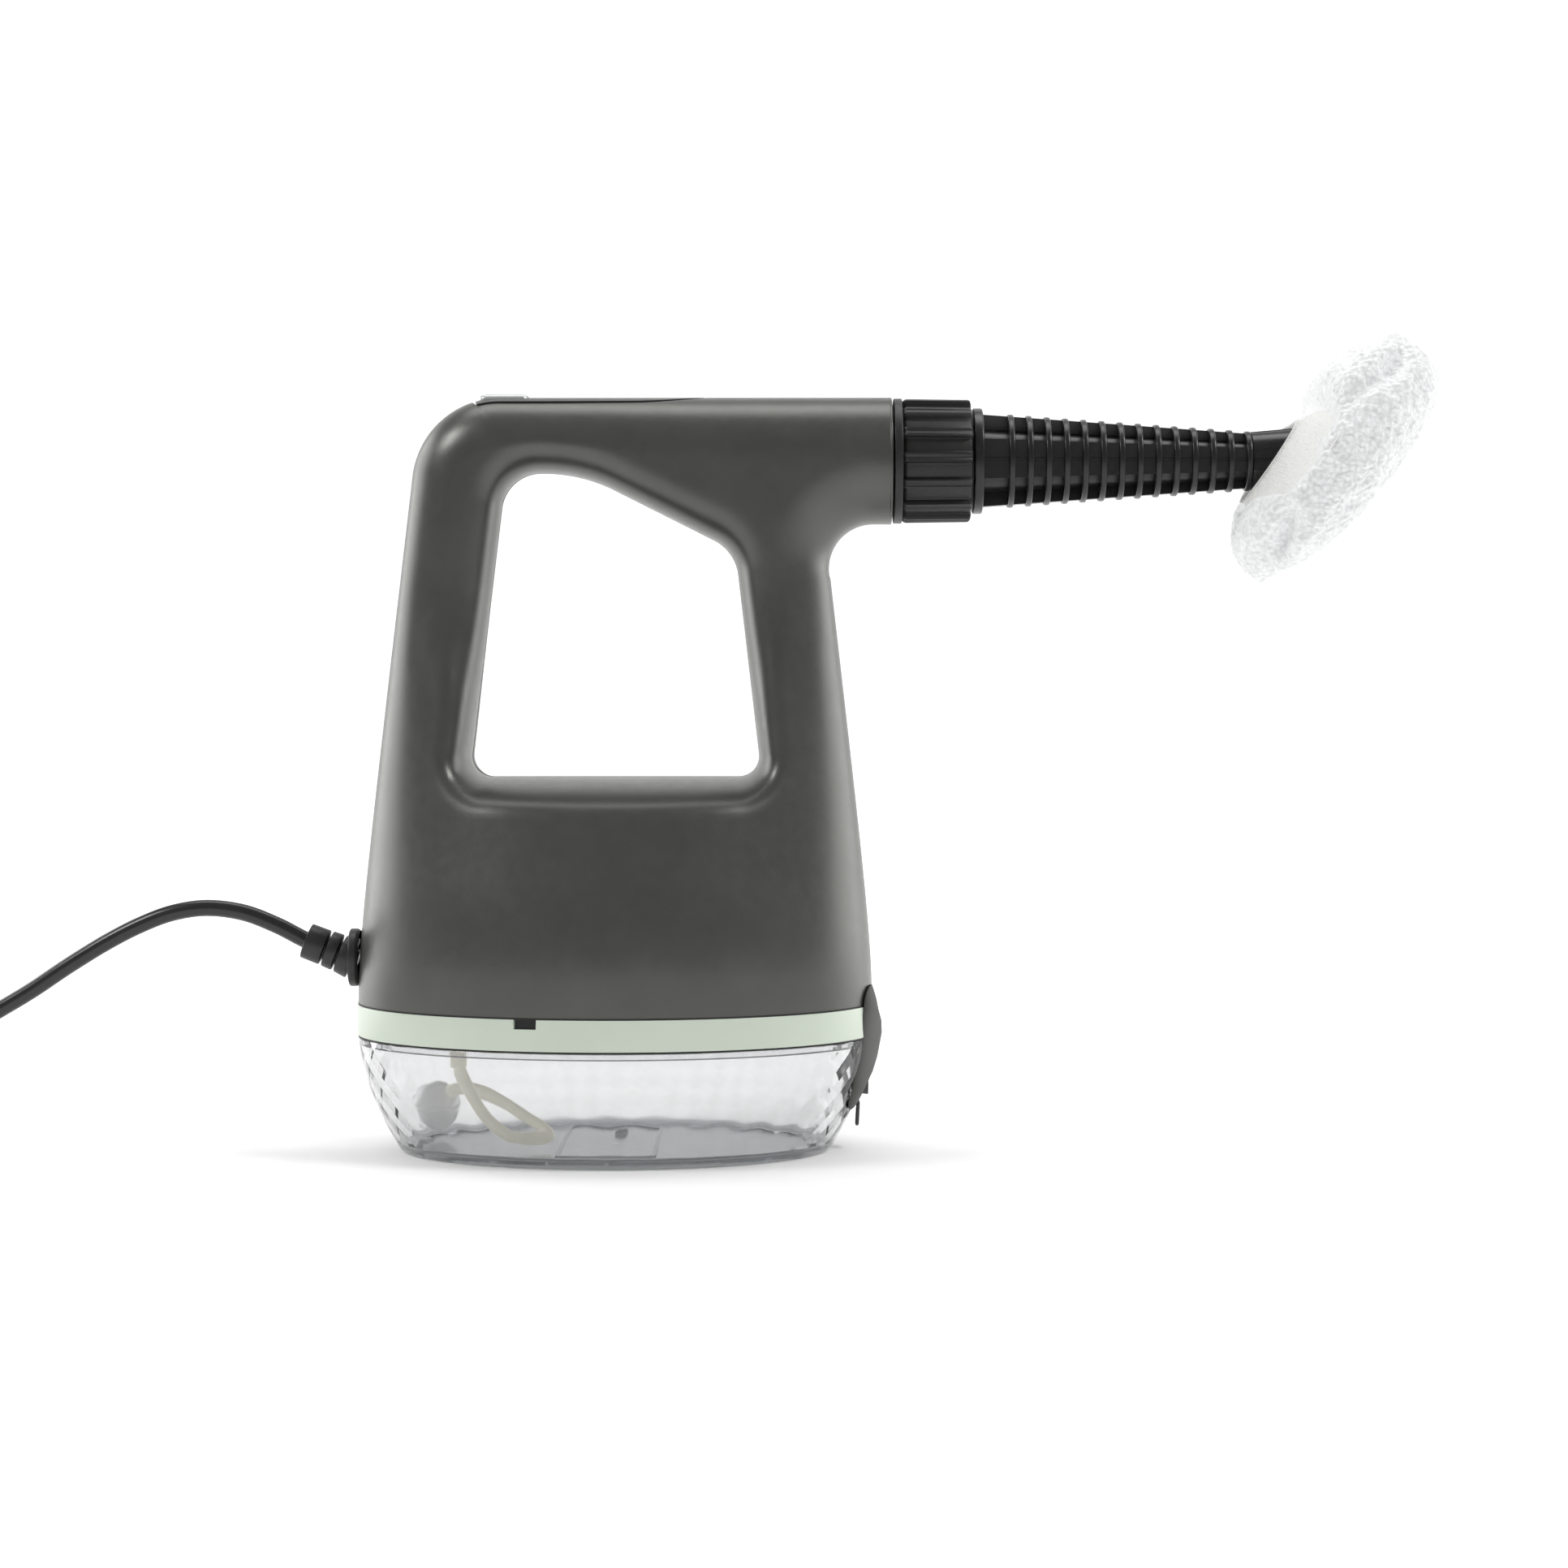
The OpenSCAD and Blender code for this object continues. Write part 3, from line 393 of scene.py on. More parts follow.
def coil_line():
    """Stacked turns, from the top layer's middle turn to the bottom layer's outer one."""
    u = np.linspace(0, COIL_TURNS, 320)
    r, z = np.full_like(u, COIL_R), np.full_like(u, COIL_Z + 5 * CORD_R)
    for start, out, down in COIL_STEPS:
        step = 2 * CORD_R * ease((u - start) / COIL_STEP_TURNS)
        r += out * step
        z -= down * step
    angle = -math.pi / 2 - 2 * math.pi * u
    return np.stack([COIL_AT[0] + r * np.cos(angle), COIL_AT[1] + r * np.sin(angle), z], -1)


def add_cord():
    """Mains cord with its coil, its path in millimetres and its length in metres."""
    rubber = plain("cord_jacket", (0.020, 0.020, 0.020), 0.24, lump=(2500, 0.03))
    coil = coil_line()
    lead = smooth_line(CORD_IN + CORD_ROUTE + [tuple(coil[2])], 6)
    tail = smooth_line([coil[-1], (-355.4, 46, 4.6), (-355.4, 56, 6.2), PLUG_AT, (-355.4, 74, 7.6)], 4)
    path = np.vstack([lead[:-1], coil[2:-1], tail])
    length = np.linalg.norm(np.diff(path, axis=0), axis=1).sum()
    cord = tube_curve("mains_cord", path, CORD_R, rubber, "casing", ("power_cord", "cord_coil"))
    return cord, path, length * MM


add_camera()
add_studio()
add_floor()
cord, cord_path, cord_length = add_cord()


# ---------------------------------------------------------------- casing
# Where the outline's parts start, in steps of k points: front, throat, barrel's underside, its face, top
FRONT, THROAT, UNDER, FACE, TOP, CORNER, BACK, END = 24, 40, 46, 47, 57, 73, 81, 97


def arc(c, r, start, end, n):
    a = np.radians(start + (end - start) * np.arange(n) / n)
    return np.stack([c[0] + r * np.cos(a), c[1] + r * np.sin(a)], -1)


def straight(p, q, n):
    return np.array(p) + (np.array(q) - np.array(p)) * (np.arange(n) / n)[:, None]


def corner(i):
    """Centre of the round in a corner of the hand opening."""
    p = np.array(OPENING[i][:2])
    a = np.array(OPENING[i - 1][:2]) - p
    b = np.array(OPENING[(i + 1) % 5][:2]) - p
    a, b = a / np.linalg.norm(a), b / np.linalg.norm(b)
    half = math.acos(a @ b) / 2
    return p + (a + b) / np.linalg.norm(a + b) * OPENING[i][2] / math.sin(half)


def edge_angle(i):
    p, q = OPENING[i], OPENING[(i + 1) % 5]
    a = math.degrees(math.atan2(p[0] - q[0], q[1] - p[1]))
    return a + 360 if a < -100 else a


def opening_line(k):
    """Edge of the hand opening, k points to each of the part's own, in step with outline()."""
    right, slope, left = edge_angle(1), edge_angle(2), edge_angle(4)
    low_left, low_right = (left + 270) / 2, (right - 90) / 2

    def at(i, a):
        return corner(i) + OPENING[i][2] * np.array([math.cos(math.radians(a)), math.sin(math.radians(a))])

    def turn(i, start, end, n):
        return arc(corner(i), OPENING[i][2], start, end, n * k)

    return np.vstack([
        turn(0, low_left, 270, 4),
        straight(at(0, 270), at(1, -90), 16 * k),
        turn(1, -90, low_right, 4),
        turn(1, low_right, right, 3),
        straight(at(1, right), at(2, right), 13 * k),
        turn(2, right, slope, 17),
        straight(at(2, slope), at(3, slope), 8 * k),
        turn(3, slope, 90, 4),
        straight(at(3, 90), at(4, 90), 4 * k),
        turn(4, 90, left, 8),
        straight(at(4, left), at(0, left), 13 * k),
        turn(0, left, low_left, 3)])


def outline(k, end):
    """Silhouette of the casing in side view, from its foot round by the barrel's end."""
    def side(s, z0, z1, n):
        z = z0 + (z1 - z0) * np.arange(n) / n
        return np.stack([s * side_x(z), z], -1)

    foot = -side_x(FOOT_Z) * np.cos(math.pi * np.arange(FRONT * k) / (FRONT * k))
    points = (TOP - FACE) * k
    face = BARREL_Z - BARREL_R * np.cos(math.pi * np.arange(points) / (points - 1))
    return np.vstack([
        np.stack([foot, np.full_like(foot, FOOT_Z)], -1),
        side(1, FOOT_Z, THROAT_Z - 2, (THROAT - FRONT) * k),
        arc((THROAT_X, THROAT_Z), THROAT_R, 187, 90, (UNDER - THROAT) * k),
        straight((THROAT_X, LOW_Z), (end, LOW_Z), (FACE - UNDER) * k),
        np.stack([np.full_like(face, end), face], -1),
        straight((end, TOP_Z), (CORNER_X, TOP_Z), (CORNER - TOP) * k),
        arc((CORNER_X, TOP_Z - CORNER_R), CORNER_R, 90, 173, (BACK - CORNER) * k),
        side(-1, TOP_Z - CORNER_R + 4, FOOT_Z, (END - BACK) * k)])


def distance(points, line):
    """Distance from each point to a line of points."""
    best = np.full(points.shape[:-1], 1e9)
    for a, b in zip(line[:-1], line[1:]):
        ab = b - a
        t = np.clip(((points - a) @ ab) / max(ab @ ab, 1e-9), 0, 1)
        best = np.minimum(best, np.linalg.norm(points - a - t[..., None] * ab, axis=-1))
    return best


def round_edge(s):
    c = 1 - np.minimum(1, s)
    return np.sqrt(np.maximum(0, 1 - c * c))


def soft_edge(s):
    c = 1 - np.minimum(1, s)
    return np.maximum(0, 1 - c ** OPENING_POWER) ** (1 / OPENING_POWER)


PANEL_X0, PANEL_X1, PANEL_HALF, SEAM, SEAM_DIP = -54.5, 35.0, 9.3, 0.45, 0.6


def panel_half(x):
    """Half width of the top panel at x, or 0 past its ends."""
    back = np.sqrt(np.clip(1 - (np.clip(PANEL_X0 + 3 - x, 0, 9) / 3) ** 2, 0, 1))
    front = np.sqrt(np.clip(1 - (np.clip(x - 5, 0, 99) / (PANEL_X1 - 5)) ** 2, 0, 1))
    return PANEL_HALF * back * front


def casing_skin(k, rows, end):
    """Right side of the casing's skin and of the top panel, as two grids of points."""
    outer, inner = outline(k, end), opening_line(k)
    n = len(outer)
    # the rays of the barrel bend towards its middle, and fan out a little under it
    into, out_of = (UNDER - THROAT) * k, (CORNER - TOP) * k
    bend = np.concatenate([np.zeros(THROAT * k), np.arange(into) / into, np.ones((TOP - UNDER) * k),
                           np.clip(1 - 2 * np.arange(out_of) / out_of, 0, 1), np.zeros((END - CORNER) * k)])
    middle = (outer + inner) / 2
    fan = np.interp(np.arange(n) / k, [UNDER, FACE, TOP - 1 / k], [0, 3, 0], left=0, right=0)
    pull = np.stack([np.full(n, 72.0), BARREL_Z + (outer[:, 1] - BARREL_Z) * 0.8 + fan], -1)
    control = middle + (pull - middle) * bend[:, None]
    closed = np.vstack([inner, inner[:1]])
    first, second = outer[FRONT * k:FACE * k + 1], np.vstack([outer[TOP * k - 1:], outer[:1]])

    def surface(v, rays=slice(None)):
        """Points of the skin on some of the rays, at ray parameters v."""
        v = v[..., None]
        a, b, c = outer[rays, None], control[rays, None], inner[rays, None]
        p = (1 - v) ** 2 * a + 2 * v * (1 - v) * b + v ** 2 * c
        out_d = np.minimum(distance(p, first), distance(p, second))
        in_d = distance(p, closed)
        x, z = p[..., 0], p[..., 1]
        top_t = mix(HANDLE_T, BARREL_R, (x + 40) / 90)
        deep = mix(FOOT_B, top_t, (z - 70) / 145)
        reach = mix(side_x(z), top_t, (z - 105) / 95)
        h = deep * round_edge(out_d / reach) * soft_edge(in_d / OPENING_EDGE)
        return np.stack([x, -h, z], -1)

    fine = np.linspace(0, 1, 90) ** 2 * 0.4
    probe = surface(np.tile(fine, (n, 1)))
    top = (outer[:, 1] > 276) & (panel_half(outer[:, 0]) > 0)

    def crossing(grow):
        """Ray parameter at which each ray leaves the top panel."""
        gap = -probe[..., 1] - (panel_half(probe[..., 0]) + grow)
        i = np.clip(np.argmax(gap > 0, axis=1), 1, len(fine) - 1)
        a, b = gap[np.arange(n), i - 1], gap[np.arange(n), i]
        t = np.clip(a / np.minimum(a - b, -1e-9), 0, 1)
        return np.where(top, fine[i - 1] + t * (fine[i] - fine[i - 1]), 0)

    steps = (1 - np.cos(np.pi * np.arange(rows + 1) / rows)) / 2
    start = crossing(SEAM)
    skin = surface(start[:, None] + (1 - start[:, None]) * steps)
    lip = np.linalg.norm(skin - skin[:, :1], axis=-1)
    skin[..., 2] -= np.where(start > 0, SEAM_DIP, 0)[:, None] * np.exp(-(lip / 0.7) ** 2)
    panel_steps = np.sin(np.linspace(0, math.pi / 2, 13))
    return skin, surface(crossing(-SEAM)[top, None] * panel_steps, top)


def add_casing(shell):
    """Both halves of the casing and the control panel that sits in their top."""
    nose = 0.9
    skin, panel = casing_skin(5, 44, BARREL_X - nose)
    line = rounded([(BARREL_X - nose - 0.01, BARREL_R), (BARREL_X, BARREL_R), (BARREL_X, 15),
                    (BARREL_X - 3, 15)], nose, 6)
    angle = np.linspace(-math.pi / 2, math.pi / 2, 73)[:, None]
    x, r = (np.repeat(line[None, :, k], len(angle), 0) for k in (0, 1))
    face = sheet_of(np.stack([x, -r * np.cos(angle), BARREL_Z + r * np.sin(angle)], -1))
    right = [turned_over(sheet_of(skin, wrap=True)), face]
    for name, node, sheets in (("casing_half_right", "casing_right", right),
                               ("casing_half_left", "casing_left", [mirrored(s) for s in right])):
        thicken(build(name, sheets, shell, "casing", [node], sharp=50, skin=True), WALL)
    top = turned_over(sheet_of(panel))
    lid = build("control_panel", [top, mirrored(top)], shell, "casing", ["top_panel"],
                sharp=50, skin=True)
    # The panel's rim faces are near black: painted shade in the seam round the panel.
    lid.data.materials.append(plain("panel_seam_shade", (0.010, 0.010, 0.010), 0.7))
    thicken(lid, WALL).modifiers["wall"].material_offset_rim = 1


add_casing(plain("casing_plastic", (0.112, 0.113, 0.105), 0.34, 0.64, grain=0.05, lump=(2600, 0.10), fine=60))


# ---------------------------------------------------------------- closed forms
def rounded_box(half_u, half_v, radius, n=8):
    """Outline of a rounded rectangle, n points to each corner."""
    out = []
    for k, (u, v) in enumerate(((1, 1), (-1, 1), (-1, -1), (1, -1))):
        a = math.pi / 2 * k + np.linspace(0, math.pi / 2, n)
        c = np.array([u * (half_u - radius), v * (half_v - radius)])
        out.append(c + radius * np.stack([np.cos(a), np.sin(a)], -1))
    return np.vstack(out)


def pillow(half_u, half_v, radius, profile, n=8):
    """Rings (u, v, height) of a rounded slab: profile lists (inset, height) from its middle to its rim."""
    rings = []
    for inset, height in profile:
        u, v = max(half_u - inset, 0.01), max(half_v - inset, 0.01)
        ring = rounded_box(u, v, max(min(radius - inset, u, v), 0.005), n)
        rings.append(np.hstack([ring, np.full((len(ring), 1), height)]))
    return np.swapaxes(np.array(rings), 0, 1)


def loft(sections):
    """Sheet through closed sections, each an (n, 3) array of points."""
    return sheet_of(np.swapaxes(np.array(sections), 0, 1), wrap=True)


# ---------------------------------------------------------------- tank, band and stopper
def tank_x(z):
    return FOOT_A - (FOOT_A - TANK_FOOT_A) * np.maximum(0, 1 - np.asarray(z, float) / TANK_H) ** 1.7


NECK_A, NECK_Z, FLOOR_Z = 93.2, 51, 3
FILLER_Z, FILLER_R = 29, 8.6
# Moulded diamonds inside the tank: how many round it, grid steps to each, rows of grid steps, foot and height
FACETS, FINE, ROWS = 32, 8, 24
INNER_Z, DIAMOND_H = FLOOR_Z + 1.6, 14.2
TANK_STEPS = FINE * FACETS
TANK_SHARP = 4


def tank_inside():
    """Inner surface of the tank, from its shoulder down over the diamonds to the stepped floor."""
    t = np.arange(TANK_STEPS) * 2 * math.pi / TANK_STEPS
    u = np.arange(TANK_STEPS) / FINE
    depth = 0.06 + 0.22 * ease((np.abs(np.cos(t)) - 0.75) / 0.17)
    levels = [(NECK_A - WALL, TANK_H - WALL), (FOOT_A - WALL - 0.3, TANK_H - WALL - 0.3)]
    for row in np.arange(ROWS, -1, -1) / FINE:
        z = INNER_Z + row * DIAMOND_H
        relief = np.abs(2 * ((u + row) % 1) - 1) + np.abs(2 * ((u - row) % 1) - 1)
        levels.append((tank_x(z) - WALL - depth * relief, z))
    notch = np.where(np.arange(TANK_STEPS) // 12 % 2, 0.985, 0.95) * (tank_x(FLOOR_Z) - WALL - 4)
    levels += [(tank_x(FLOOR_Z) - WALL - 1.5, FLOOR_Z), (notch, FLOOR_Z), (0.99 * notch, FLOOR_Z - 0.9),
               (0.02 * notch, FLOOR_Z - 0.9)]
    rings = [np.stack([r * np.cos(t), r * PLAN * np.sin(t), np.full(TANK_STEPS, z)], -1) for r, z in levels]
    faces = []
    for k in range(len(rings) - 1):
        row = ROWS + 1 - k
        for i in range(TANK_STEPS):
            a, b = k * TANK_STEPS + i, k * TANK_STEPS + (i + 1) % TANK_STEPS
            c, d = a + TANK_STEPS, b + TANK_STEPS
            # each square is split along the diamonds' creases
            if (i - row) % (FINE // 2) == 0:
                faces += [(a, b, c, c), (b, d, c, c)]
            else:
                faces += [(a, b, d, d), (a, d, c, c)]
    return np.concatenate(rings), np.array(faces)


def add_tank():
    """Clear tank: smooth outside, moulded diamonds inside, and a stepped floor."""
    side = [(tank_x(z), z) for z in np.linspace(1.5, TANK_H - 0.4, 26)]
    foot = [tuple(p) for p in rounded([(74, 0), (tank_x(0) - 0.4, 0)] + side[:2], 5, 6)]
    neck = [(FOOT_A - 0.3, TANK_H), (NECK_A, TANK_H), (NECK_A, NECK_Z), (NECK_A - WALL, NECK_Z),
            (NECK_A - WALL, TANK_H - WALL)]
    shell = outwards(oval([(0.01, 0), (40, 0)] + foot + side[2:] + neck, TANK_STEPS))
    half_u, half_v = 18, 40
    ridge = [(0.7, FLOOR_Z - 1), (0.7, FLOOR_Z - 0.3), (-0.7, FLOOR_Z - 0.3), (-0.7, FLOOR_Z - 1)]
    frame_ridge = sheet_of(np.array([
        [(-2 + u * (1 + d / half_u), 4 + v * (1 + d / half_v), z) for d, z in ridge]
        for u, v in rounded_box(half_u, half_v, 3)]), wrap=True)
    dome = upright([(2.6, FLOOR_Z - 1), (2.4, FLOOR_Z + 0.4), (1.6, FLOOR_Z + 1.1), (0.02, FLOOR_Z + 1.3)],
                   (1, 26), 24)
    inside = turned_over(outwards(tank_inside()))
    tank = build("water_tank", [shell, inside, outwards(frame_ridge), outwards(dome)],
                 clear("tank_clear", (0.78, 0.78, 0.785), 0.03), "casing", ["tank"],
                 sharp=TANK_SHARP, skin=True)
    # The floor and the foot's rim get darker clear tints: painted shadow under the tank.
    for name, tint, rough in (("tank_floor_painted_shadow", (0.36, 0.375, 0.39), 0.15),
                              ("tank_rim_painted_shade", (0.40, 0.42, 0.43), 0.06),
                              ("tank_facet_painted_shade", (0.83, 0.835, 0.84), 0.04),
                              ("tank_inside", (0.86, 0.865, 0.87), 0.04)):
        tank.data.materials.append(clear(name, tint, rough))
    count = len(shell[1])
    for face in tank.data.polygons:
        x, y, z = face.center / MM
        if z < FLOOR_Z + 0.2 and z > 1:
            face.material_index = 1
        elif z < 1.6 and math.hypot(x, y / PLAN) > 76:
            face.material_index = 2
        # Alternate diamonds inside take a slightly darker or lighter tint: painted light and shade of the
        # facets.
        elif face.index >= count and z > INNER_Z:
            u, v = math.atan2(y / PLAN, x) / (2 * math.pi) * FACETS, (z - INNER_Z) / DIAMOND_H
            face.material_index = 3 + (math.floor(2 * (u + v)) + math.floor(2 * (u - v))) % 2
    cut_filler_hole(tank)


def cut_filler_hole(tank):
    """Round hole in the tank's nose for the stopper's plug."""
    start, end = 80, 110
    line = [(start, 0.01), (start, FILLER_R), (end, FILLER_R), (end, 0.01)]
    verts, faces = outwards(turned(line, 48, height=FILLER_Z))
    mesh = bpy.data.meshes.new("filler_cutter")
    mesh.from_pydata((verts * MM).tolist(), [], faces.tolist())
    cutter = bpy.data.objects.new("filler_cutter", mesh)
    scene.collection.objects.link(cutter)
    hole = tank.modifiers.new("hole", "BOOLEAN")
    hole.operation, hole.solver, hole.object = "DIFFERENCE", "EXACT", cutter
    bpy.context.view_layer.update()
    cut = bpy.data.meshes.new_from_object(tank.evaluated_get(bpy.context.evaluated_depsgraph_get()))
    tank.modifiers.clear()
    tank.data = cut
    cut.set_sharp_from_angle(angle=math.radians(TANK_SHARP))
    bpy.data.objects.remove(cutter)
    bpy.data.meshes.remove(mesh)


# The band's notch: its two ends along X and the height of its floor
NOTCH = (-34.0, -25.6, 52.3)


def add_band(material):
    """Trim band with rounded edges and one small notch in its top edge, on the right side."""
    low, high, inner = TANK_H + 0.55, FOOT_Z - 0.55, BAND_A - 2.4
    start = (inner, high - 0.5)
    line = rounded([start, (inner, low), (BAND_A, low), (BAND_A, high), (inner, high), start], 0.55, 4)
    edges = [2 * math.pi - math.acos(x / BAND_A) for x in NOTCH[:2]]
    angle = np.linspace(0, 2 * math.pi, 361)[:-1]
    angle = np.sort(np.concatenate([angle] + [[e - 5e-4, e + 5e-4] for e in edges]))
    a, z = line[None, :, 0], np.repeat(line[None, :, 1], len(angle), 0)
    inside = (angle > min(edges)) & (angle < max(edges))
    z = np.where(inside[:, None], np.minimum(z, NOTCH[2]), z)
    points = np.stack([a * np.cos(angle[:, None]), a * PLAN * np.sin(angle[:, None]), z], -1)
    build("trim_band_ring", [sheet_of(points, wrap=True)], material, "casing", ["trim_band"],
          sharp=40)


def add_seals_and_shade(material):
    """Black rings above and below the band, as gaskets and as painted shade in the gaps there, and a black
    block behind its notch as painted shade.
    """
    def frame_of(inner, outer, low, high):
        return [(inner, low), (outer, low), (outer, high), (inner, high), (inner, low)]

    rings = [oval(frame_of(BAND_A - 2, BAND_A - 0.3, low, high))
             for low, high in ((TANK_H - 0.1, TANK_H + 0.75), (FOOT_Z - 0.75, FOOT_Z + 0.1))]
    notch_arc = [2 * math.pi - math.acos(x / BAND_A) for x in NOTCH[:2]]
    # Black block behind the notch: painted shade.
    rings.append(oval(frame_of(BAND_A - 2.3, BAND_A - 1.5, NOTCH[2], FOOT_Z - 0.4), 12, notch_arc))
    build("band_seals_and_shade", rings, material, "casing", sharp=40)


PAD_LOW, PAD_HIGH, PAD_HALF = 16.4, 63.4, 20


def add_stopper(material):
    """Rubber pad that hugs the tank's nose, with its plug and pull tab."""
    half = (PAD_HIGH - PAD_LOW) / 2
    profile = [(19, 3.1), (14, 3.05), (9, 2.9), (5, 2.6), (2.2, 2.1), (0.8, 1.5), (0.15, 0.9), (0, 0.3),
               (0.1, 0.05), (0.6, 0.0), (4, 0), (10, 0), (18, 0)]
    points = pillow(half, PAD_HALF, 8, profile, 10)
    z = points[..., 0] + (PAD_LOW + PAD_HIGH) / 2
    y = points[..., 1]
    fuller = 1 + 0.45 * np.exp(-((z - 48) / 12) ** 2)
    blend_in = ease((z - TANK_H + 3) / 6)
    a = (tank_x(np.minimum(z, TANK_H)) + 0.5) * (1 - blend_in) + (BAND_A + 0.3) * blend_in
    thin = np.clip((PAD_HIGH + 5 - z) / 9, 0.5, 1)
    lift = np.where(points[..., 2] > 0.2, points[..., 2] * fuller * thin, points[..., 2])
    x = (a * np.sqrt(np.maximum(0, 1 - (y / (a * PLAN)) ** 2))) + lift * 0.72
    pad = sheet_of(np.stack([x, y, z], -1), wrap=True)
    line = rounded([(96.4, 0.01), (96.4, FILLER_R - 0.3), (94, FILLER_R - 0.6), (93.4, FILLER_R - 0.2),
                    (92.6, FILLER_R - 0.2), (92, FILLER_R - 1), (88, FILLER_R - 2.4), (87.5, FILLER_R - 3.4),
                    (87.5, 0.01)], 0.3, 2)
    plug = turned(line, 48, height=FILLER_Z)
    rim = [(3, 0.8), (0.4, 0.8), (0.08, 0.62), (0, 0.4), (0.08, 0.16), (0.4, 0), (3, 0)]
    tab = pillow(4.6, 4, 1.6, rim, 5)
    lean = np.clip((tab[..., 0] + 4.6) / 9.2, 0, 1)
    tab = sheet_of(np.stack([91.5 + tab[..., 2] * 1.6 + 0.5 * lean, tab[..., 1], 13.6 + tab[..., 0]], -1),
                   wrap=True)
    build("filler_stopper_pad", [pad, plug, tab], material, "stopper", ["filler_stopper"],
          sharp=50)


HOSE = [(-58, -20, 43), (-58, -20, 38), (-57, -20, 31), (-53, -20, 23), (-47, -20, 14), (-39, -20, 8),
        (-31, -19, 6.6), (-25, -14, 6.8), (-27, -8, 9), (-36, -4, 14), (-46, 2, 19), (-58, 9, 22),
        (-65, 13, 20)]
HOSE_R = 2.35
WEIGHT_AT, WEIGHT_R = (-71, 17, 14), 9.6


def add_pickup(material, weight_material):
    """Silicone hose with its sleeve, and the two-part weight on its end."""
    tube_curve("pickup_tube", smooth_line(HOSE, 8), HOSE_R, material, "casing", ["pickup_hose"])
    sleeve = rounded([(2.3, 44), (3.3, 44), (3.3, 34.5), (2.9, 33.4), (2.3, 33.4)], 0.4, 3)
    build("pickup_sleeve", [upright(sleeve, HOSE[0], 32)], material, "casing", sharp=50)
    b = np.linspace(-math.pi / 2, math.pi / 2, 61)
    groove = 0.5 * np.exp(-(b / 0.05) ** 2)
    line = np.stack([WEIGHT_R * np.cos(b) - groove, WEIGHT_AT[2] + WEIGHT_R * np.sin(b)], -1)
    build("pickup_ball", [upright(line, WEIGHT_AT, 96)], weight_material, "casing",
          ["pickup_weight"], sharp=60)


# ---------------------------------------------------------------- button
BUTTON_X, BUTTON_L, BUTTON_W, BUTTON_TOP = -52.2, 19.6, 9.0, 288.3


def add_button(material):
    """Crowned cap of the steam button, and the stem that the spring sits round."""
    profile = [(4.4, 0), (3, 0), (1.6, -0.08), (0.8, -0.3), (0.3, -0.7), (0.05, -1.2), (0, -1.8), (0, -4.8),
               (0.3, -5.2), (4.4, -5.2)]
    points = pillow(BUTTON_L / 2, BUTTON_W / 2, 3, profile, 8)
    x = points[..., 0] + BUTTON_X + BUTTON_L / 2
    crown = (points[..., 0] ** 2) / 120 + (points[..., 1] ** 2) / 60
    z = BUTTON_TOP + points[..., 2] - np.where(points[..., 2] > -3, crown, 0)
    cap = sheet_of(np.stack([x, points[..., 1], z], -1), wrap=True)
    stem = upright([(0.02, 274.9), (1.4, 274.9), (1.8, 275.3), (1.8, 283.6), (0.02, 283.6)],
                   (BUTTON_X + BUTTON_L / 2, 0), 32)
    build("steam_button_cap", [cap, stem], material, "button", ["steam_button"], sharp=50)


# ---------------------------------------------------------------- collar and nozzle
COLLAR_RIBS = 14


def add_collar(material):
    """Lock collar with grip ribs, behind its smooth flange."""
    flange = rounded([(106, 14.6), (106, 23.85), (109.2, 23.85), (109.2, 21), (109.2, 14.6)], 0.5, 4)

    def ribs(x, r, angle):
        phase = (angle * COLLAR_RIBS / (2 * math.pi) + 0.5) % 1
        ridge = ease((0.24 - np.abs(phase - 0.5)) / 0.09) - 0.18 * ease((0.10 - np.abs(phase - 0.5)) / 0.08)
        outer = ease((r - 19) / 2)
        return r + outer * (2.1 * ridge - 1.5)

    x = [109.3, 109.3, 110.2, 111, 134.4, 135.0, 135.3, 135.3]
    r = [15, 22.2, 22.9, 23.1, 22.8, 22.5, 21.6, 16.8]
    body = turned(list(zip(x, r)) + [(128, 16.8)], 560, ribs)
    build("lock_collar_grip", [turned(flange, 144), body], material, "collar", ["lock_collar"],
          sharp=35)


def nozzle_r(x):
    return 17.5 - (np.asarray(x, float) - 140) * 0.0705


NOZZLE_X0, NOZZLE_X1, RING_COUNT, RING_PITCH, RING_W = 114.6, 242.2, 14, 6.96, 2.3


def section(radius, front, top, pocket):
    """Cross-section of the nozzle's core: broad flats to the sides, narrow ones above and below.

    front and top are (depth below radius, half width) of the flats and pocket is the radius of the
    pockets between them, each as a share of radius.
    """
    half = []
    for centre, (depth, width) in ((0, front), (90, top)):
        d, w = radius * (1 - depth), radius * width
        seam = 0.45 if centre == 0 else 0
        offsets = [(-w, 0), (-0.45, 0), (-0.18, seam), (0.18, seam), (0.45, 0), (w, 0)]
        for k, (u, lift) in enumerate(offsets):
            a = math.radians(centre) + math.atan2(u, d)
            if k == 0:
                half.append((a, radius * pocket))
            half.append((a, math.hypot(u, d) + lift))
            if k == 5:
                half.append((a, radius * pocket))
                depth_2, width_2 = top if centre == 0 else front
                stop = math.radians(centre + 90) - math.atan2(radius * width_2, radius * (1 - depth_2))
                half += [(b, radius * pocket) for b in np.linspace(a, stop, 6)[1:-1]]
    half = np.array(half)
    return np.vstack([half, half + [math.pi, 0]])


def core_sheet(xs, radius_of, front, top, pocket):
    """Sheet through the core's cross-sections at several places along the barrel's axis."""
    rings = []
    for x in xs:
        polar = section(radius_of(x), front, top, pocket)
        rings.append(np.stack([np.full(len(polar), x), -polar[:, 1] * np.cos(polar[:, 0]),
                               BARREL_Z + polar[:, 1] * np.sin(polar[:, 0])], -1))
    return loft(rings)


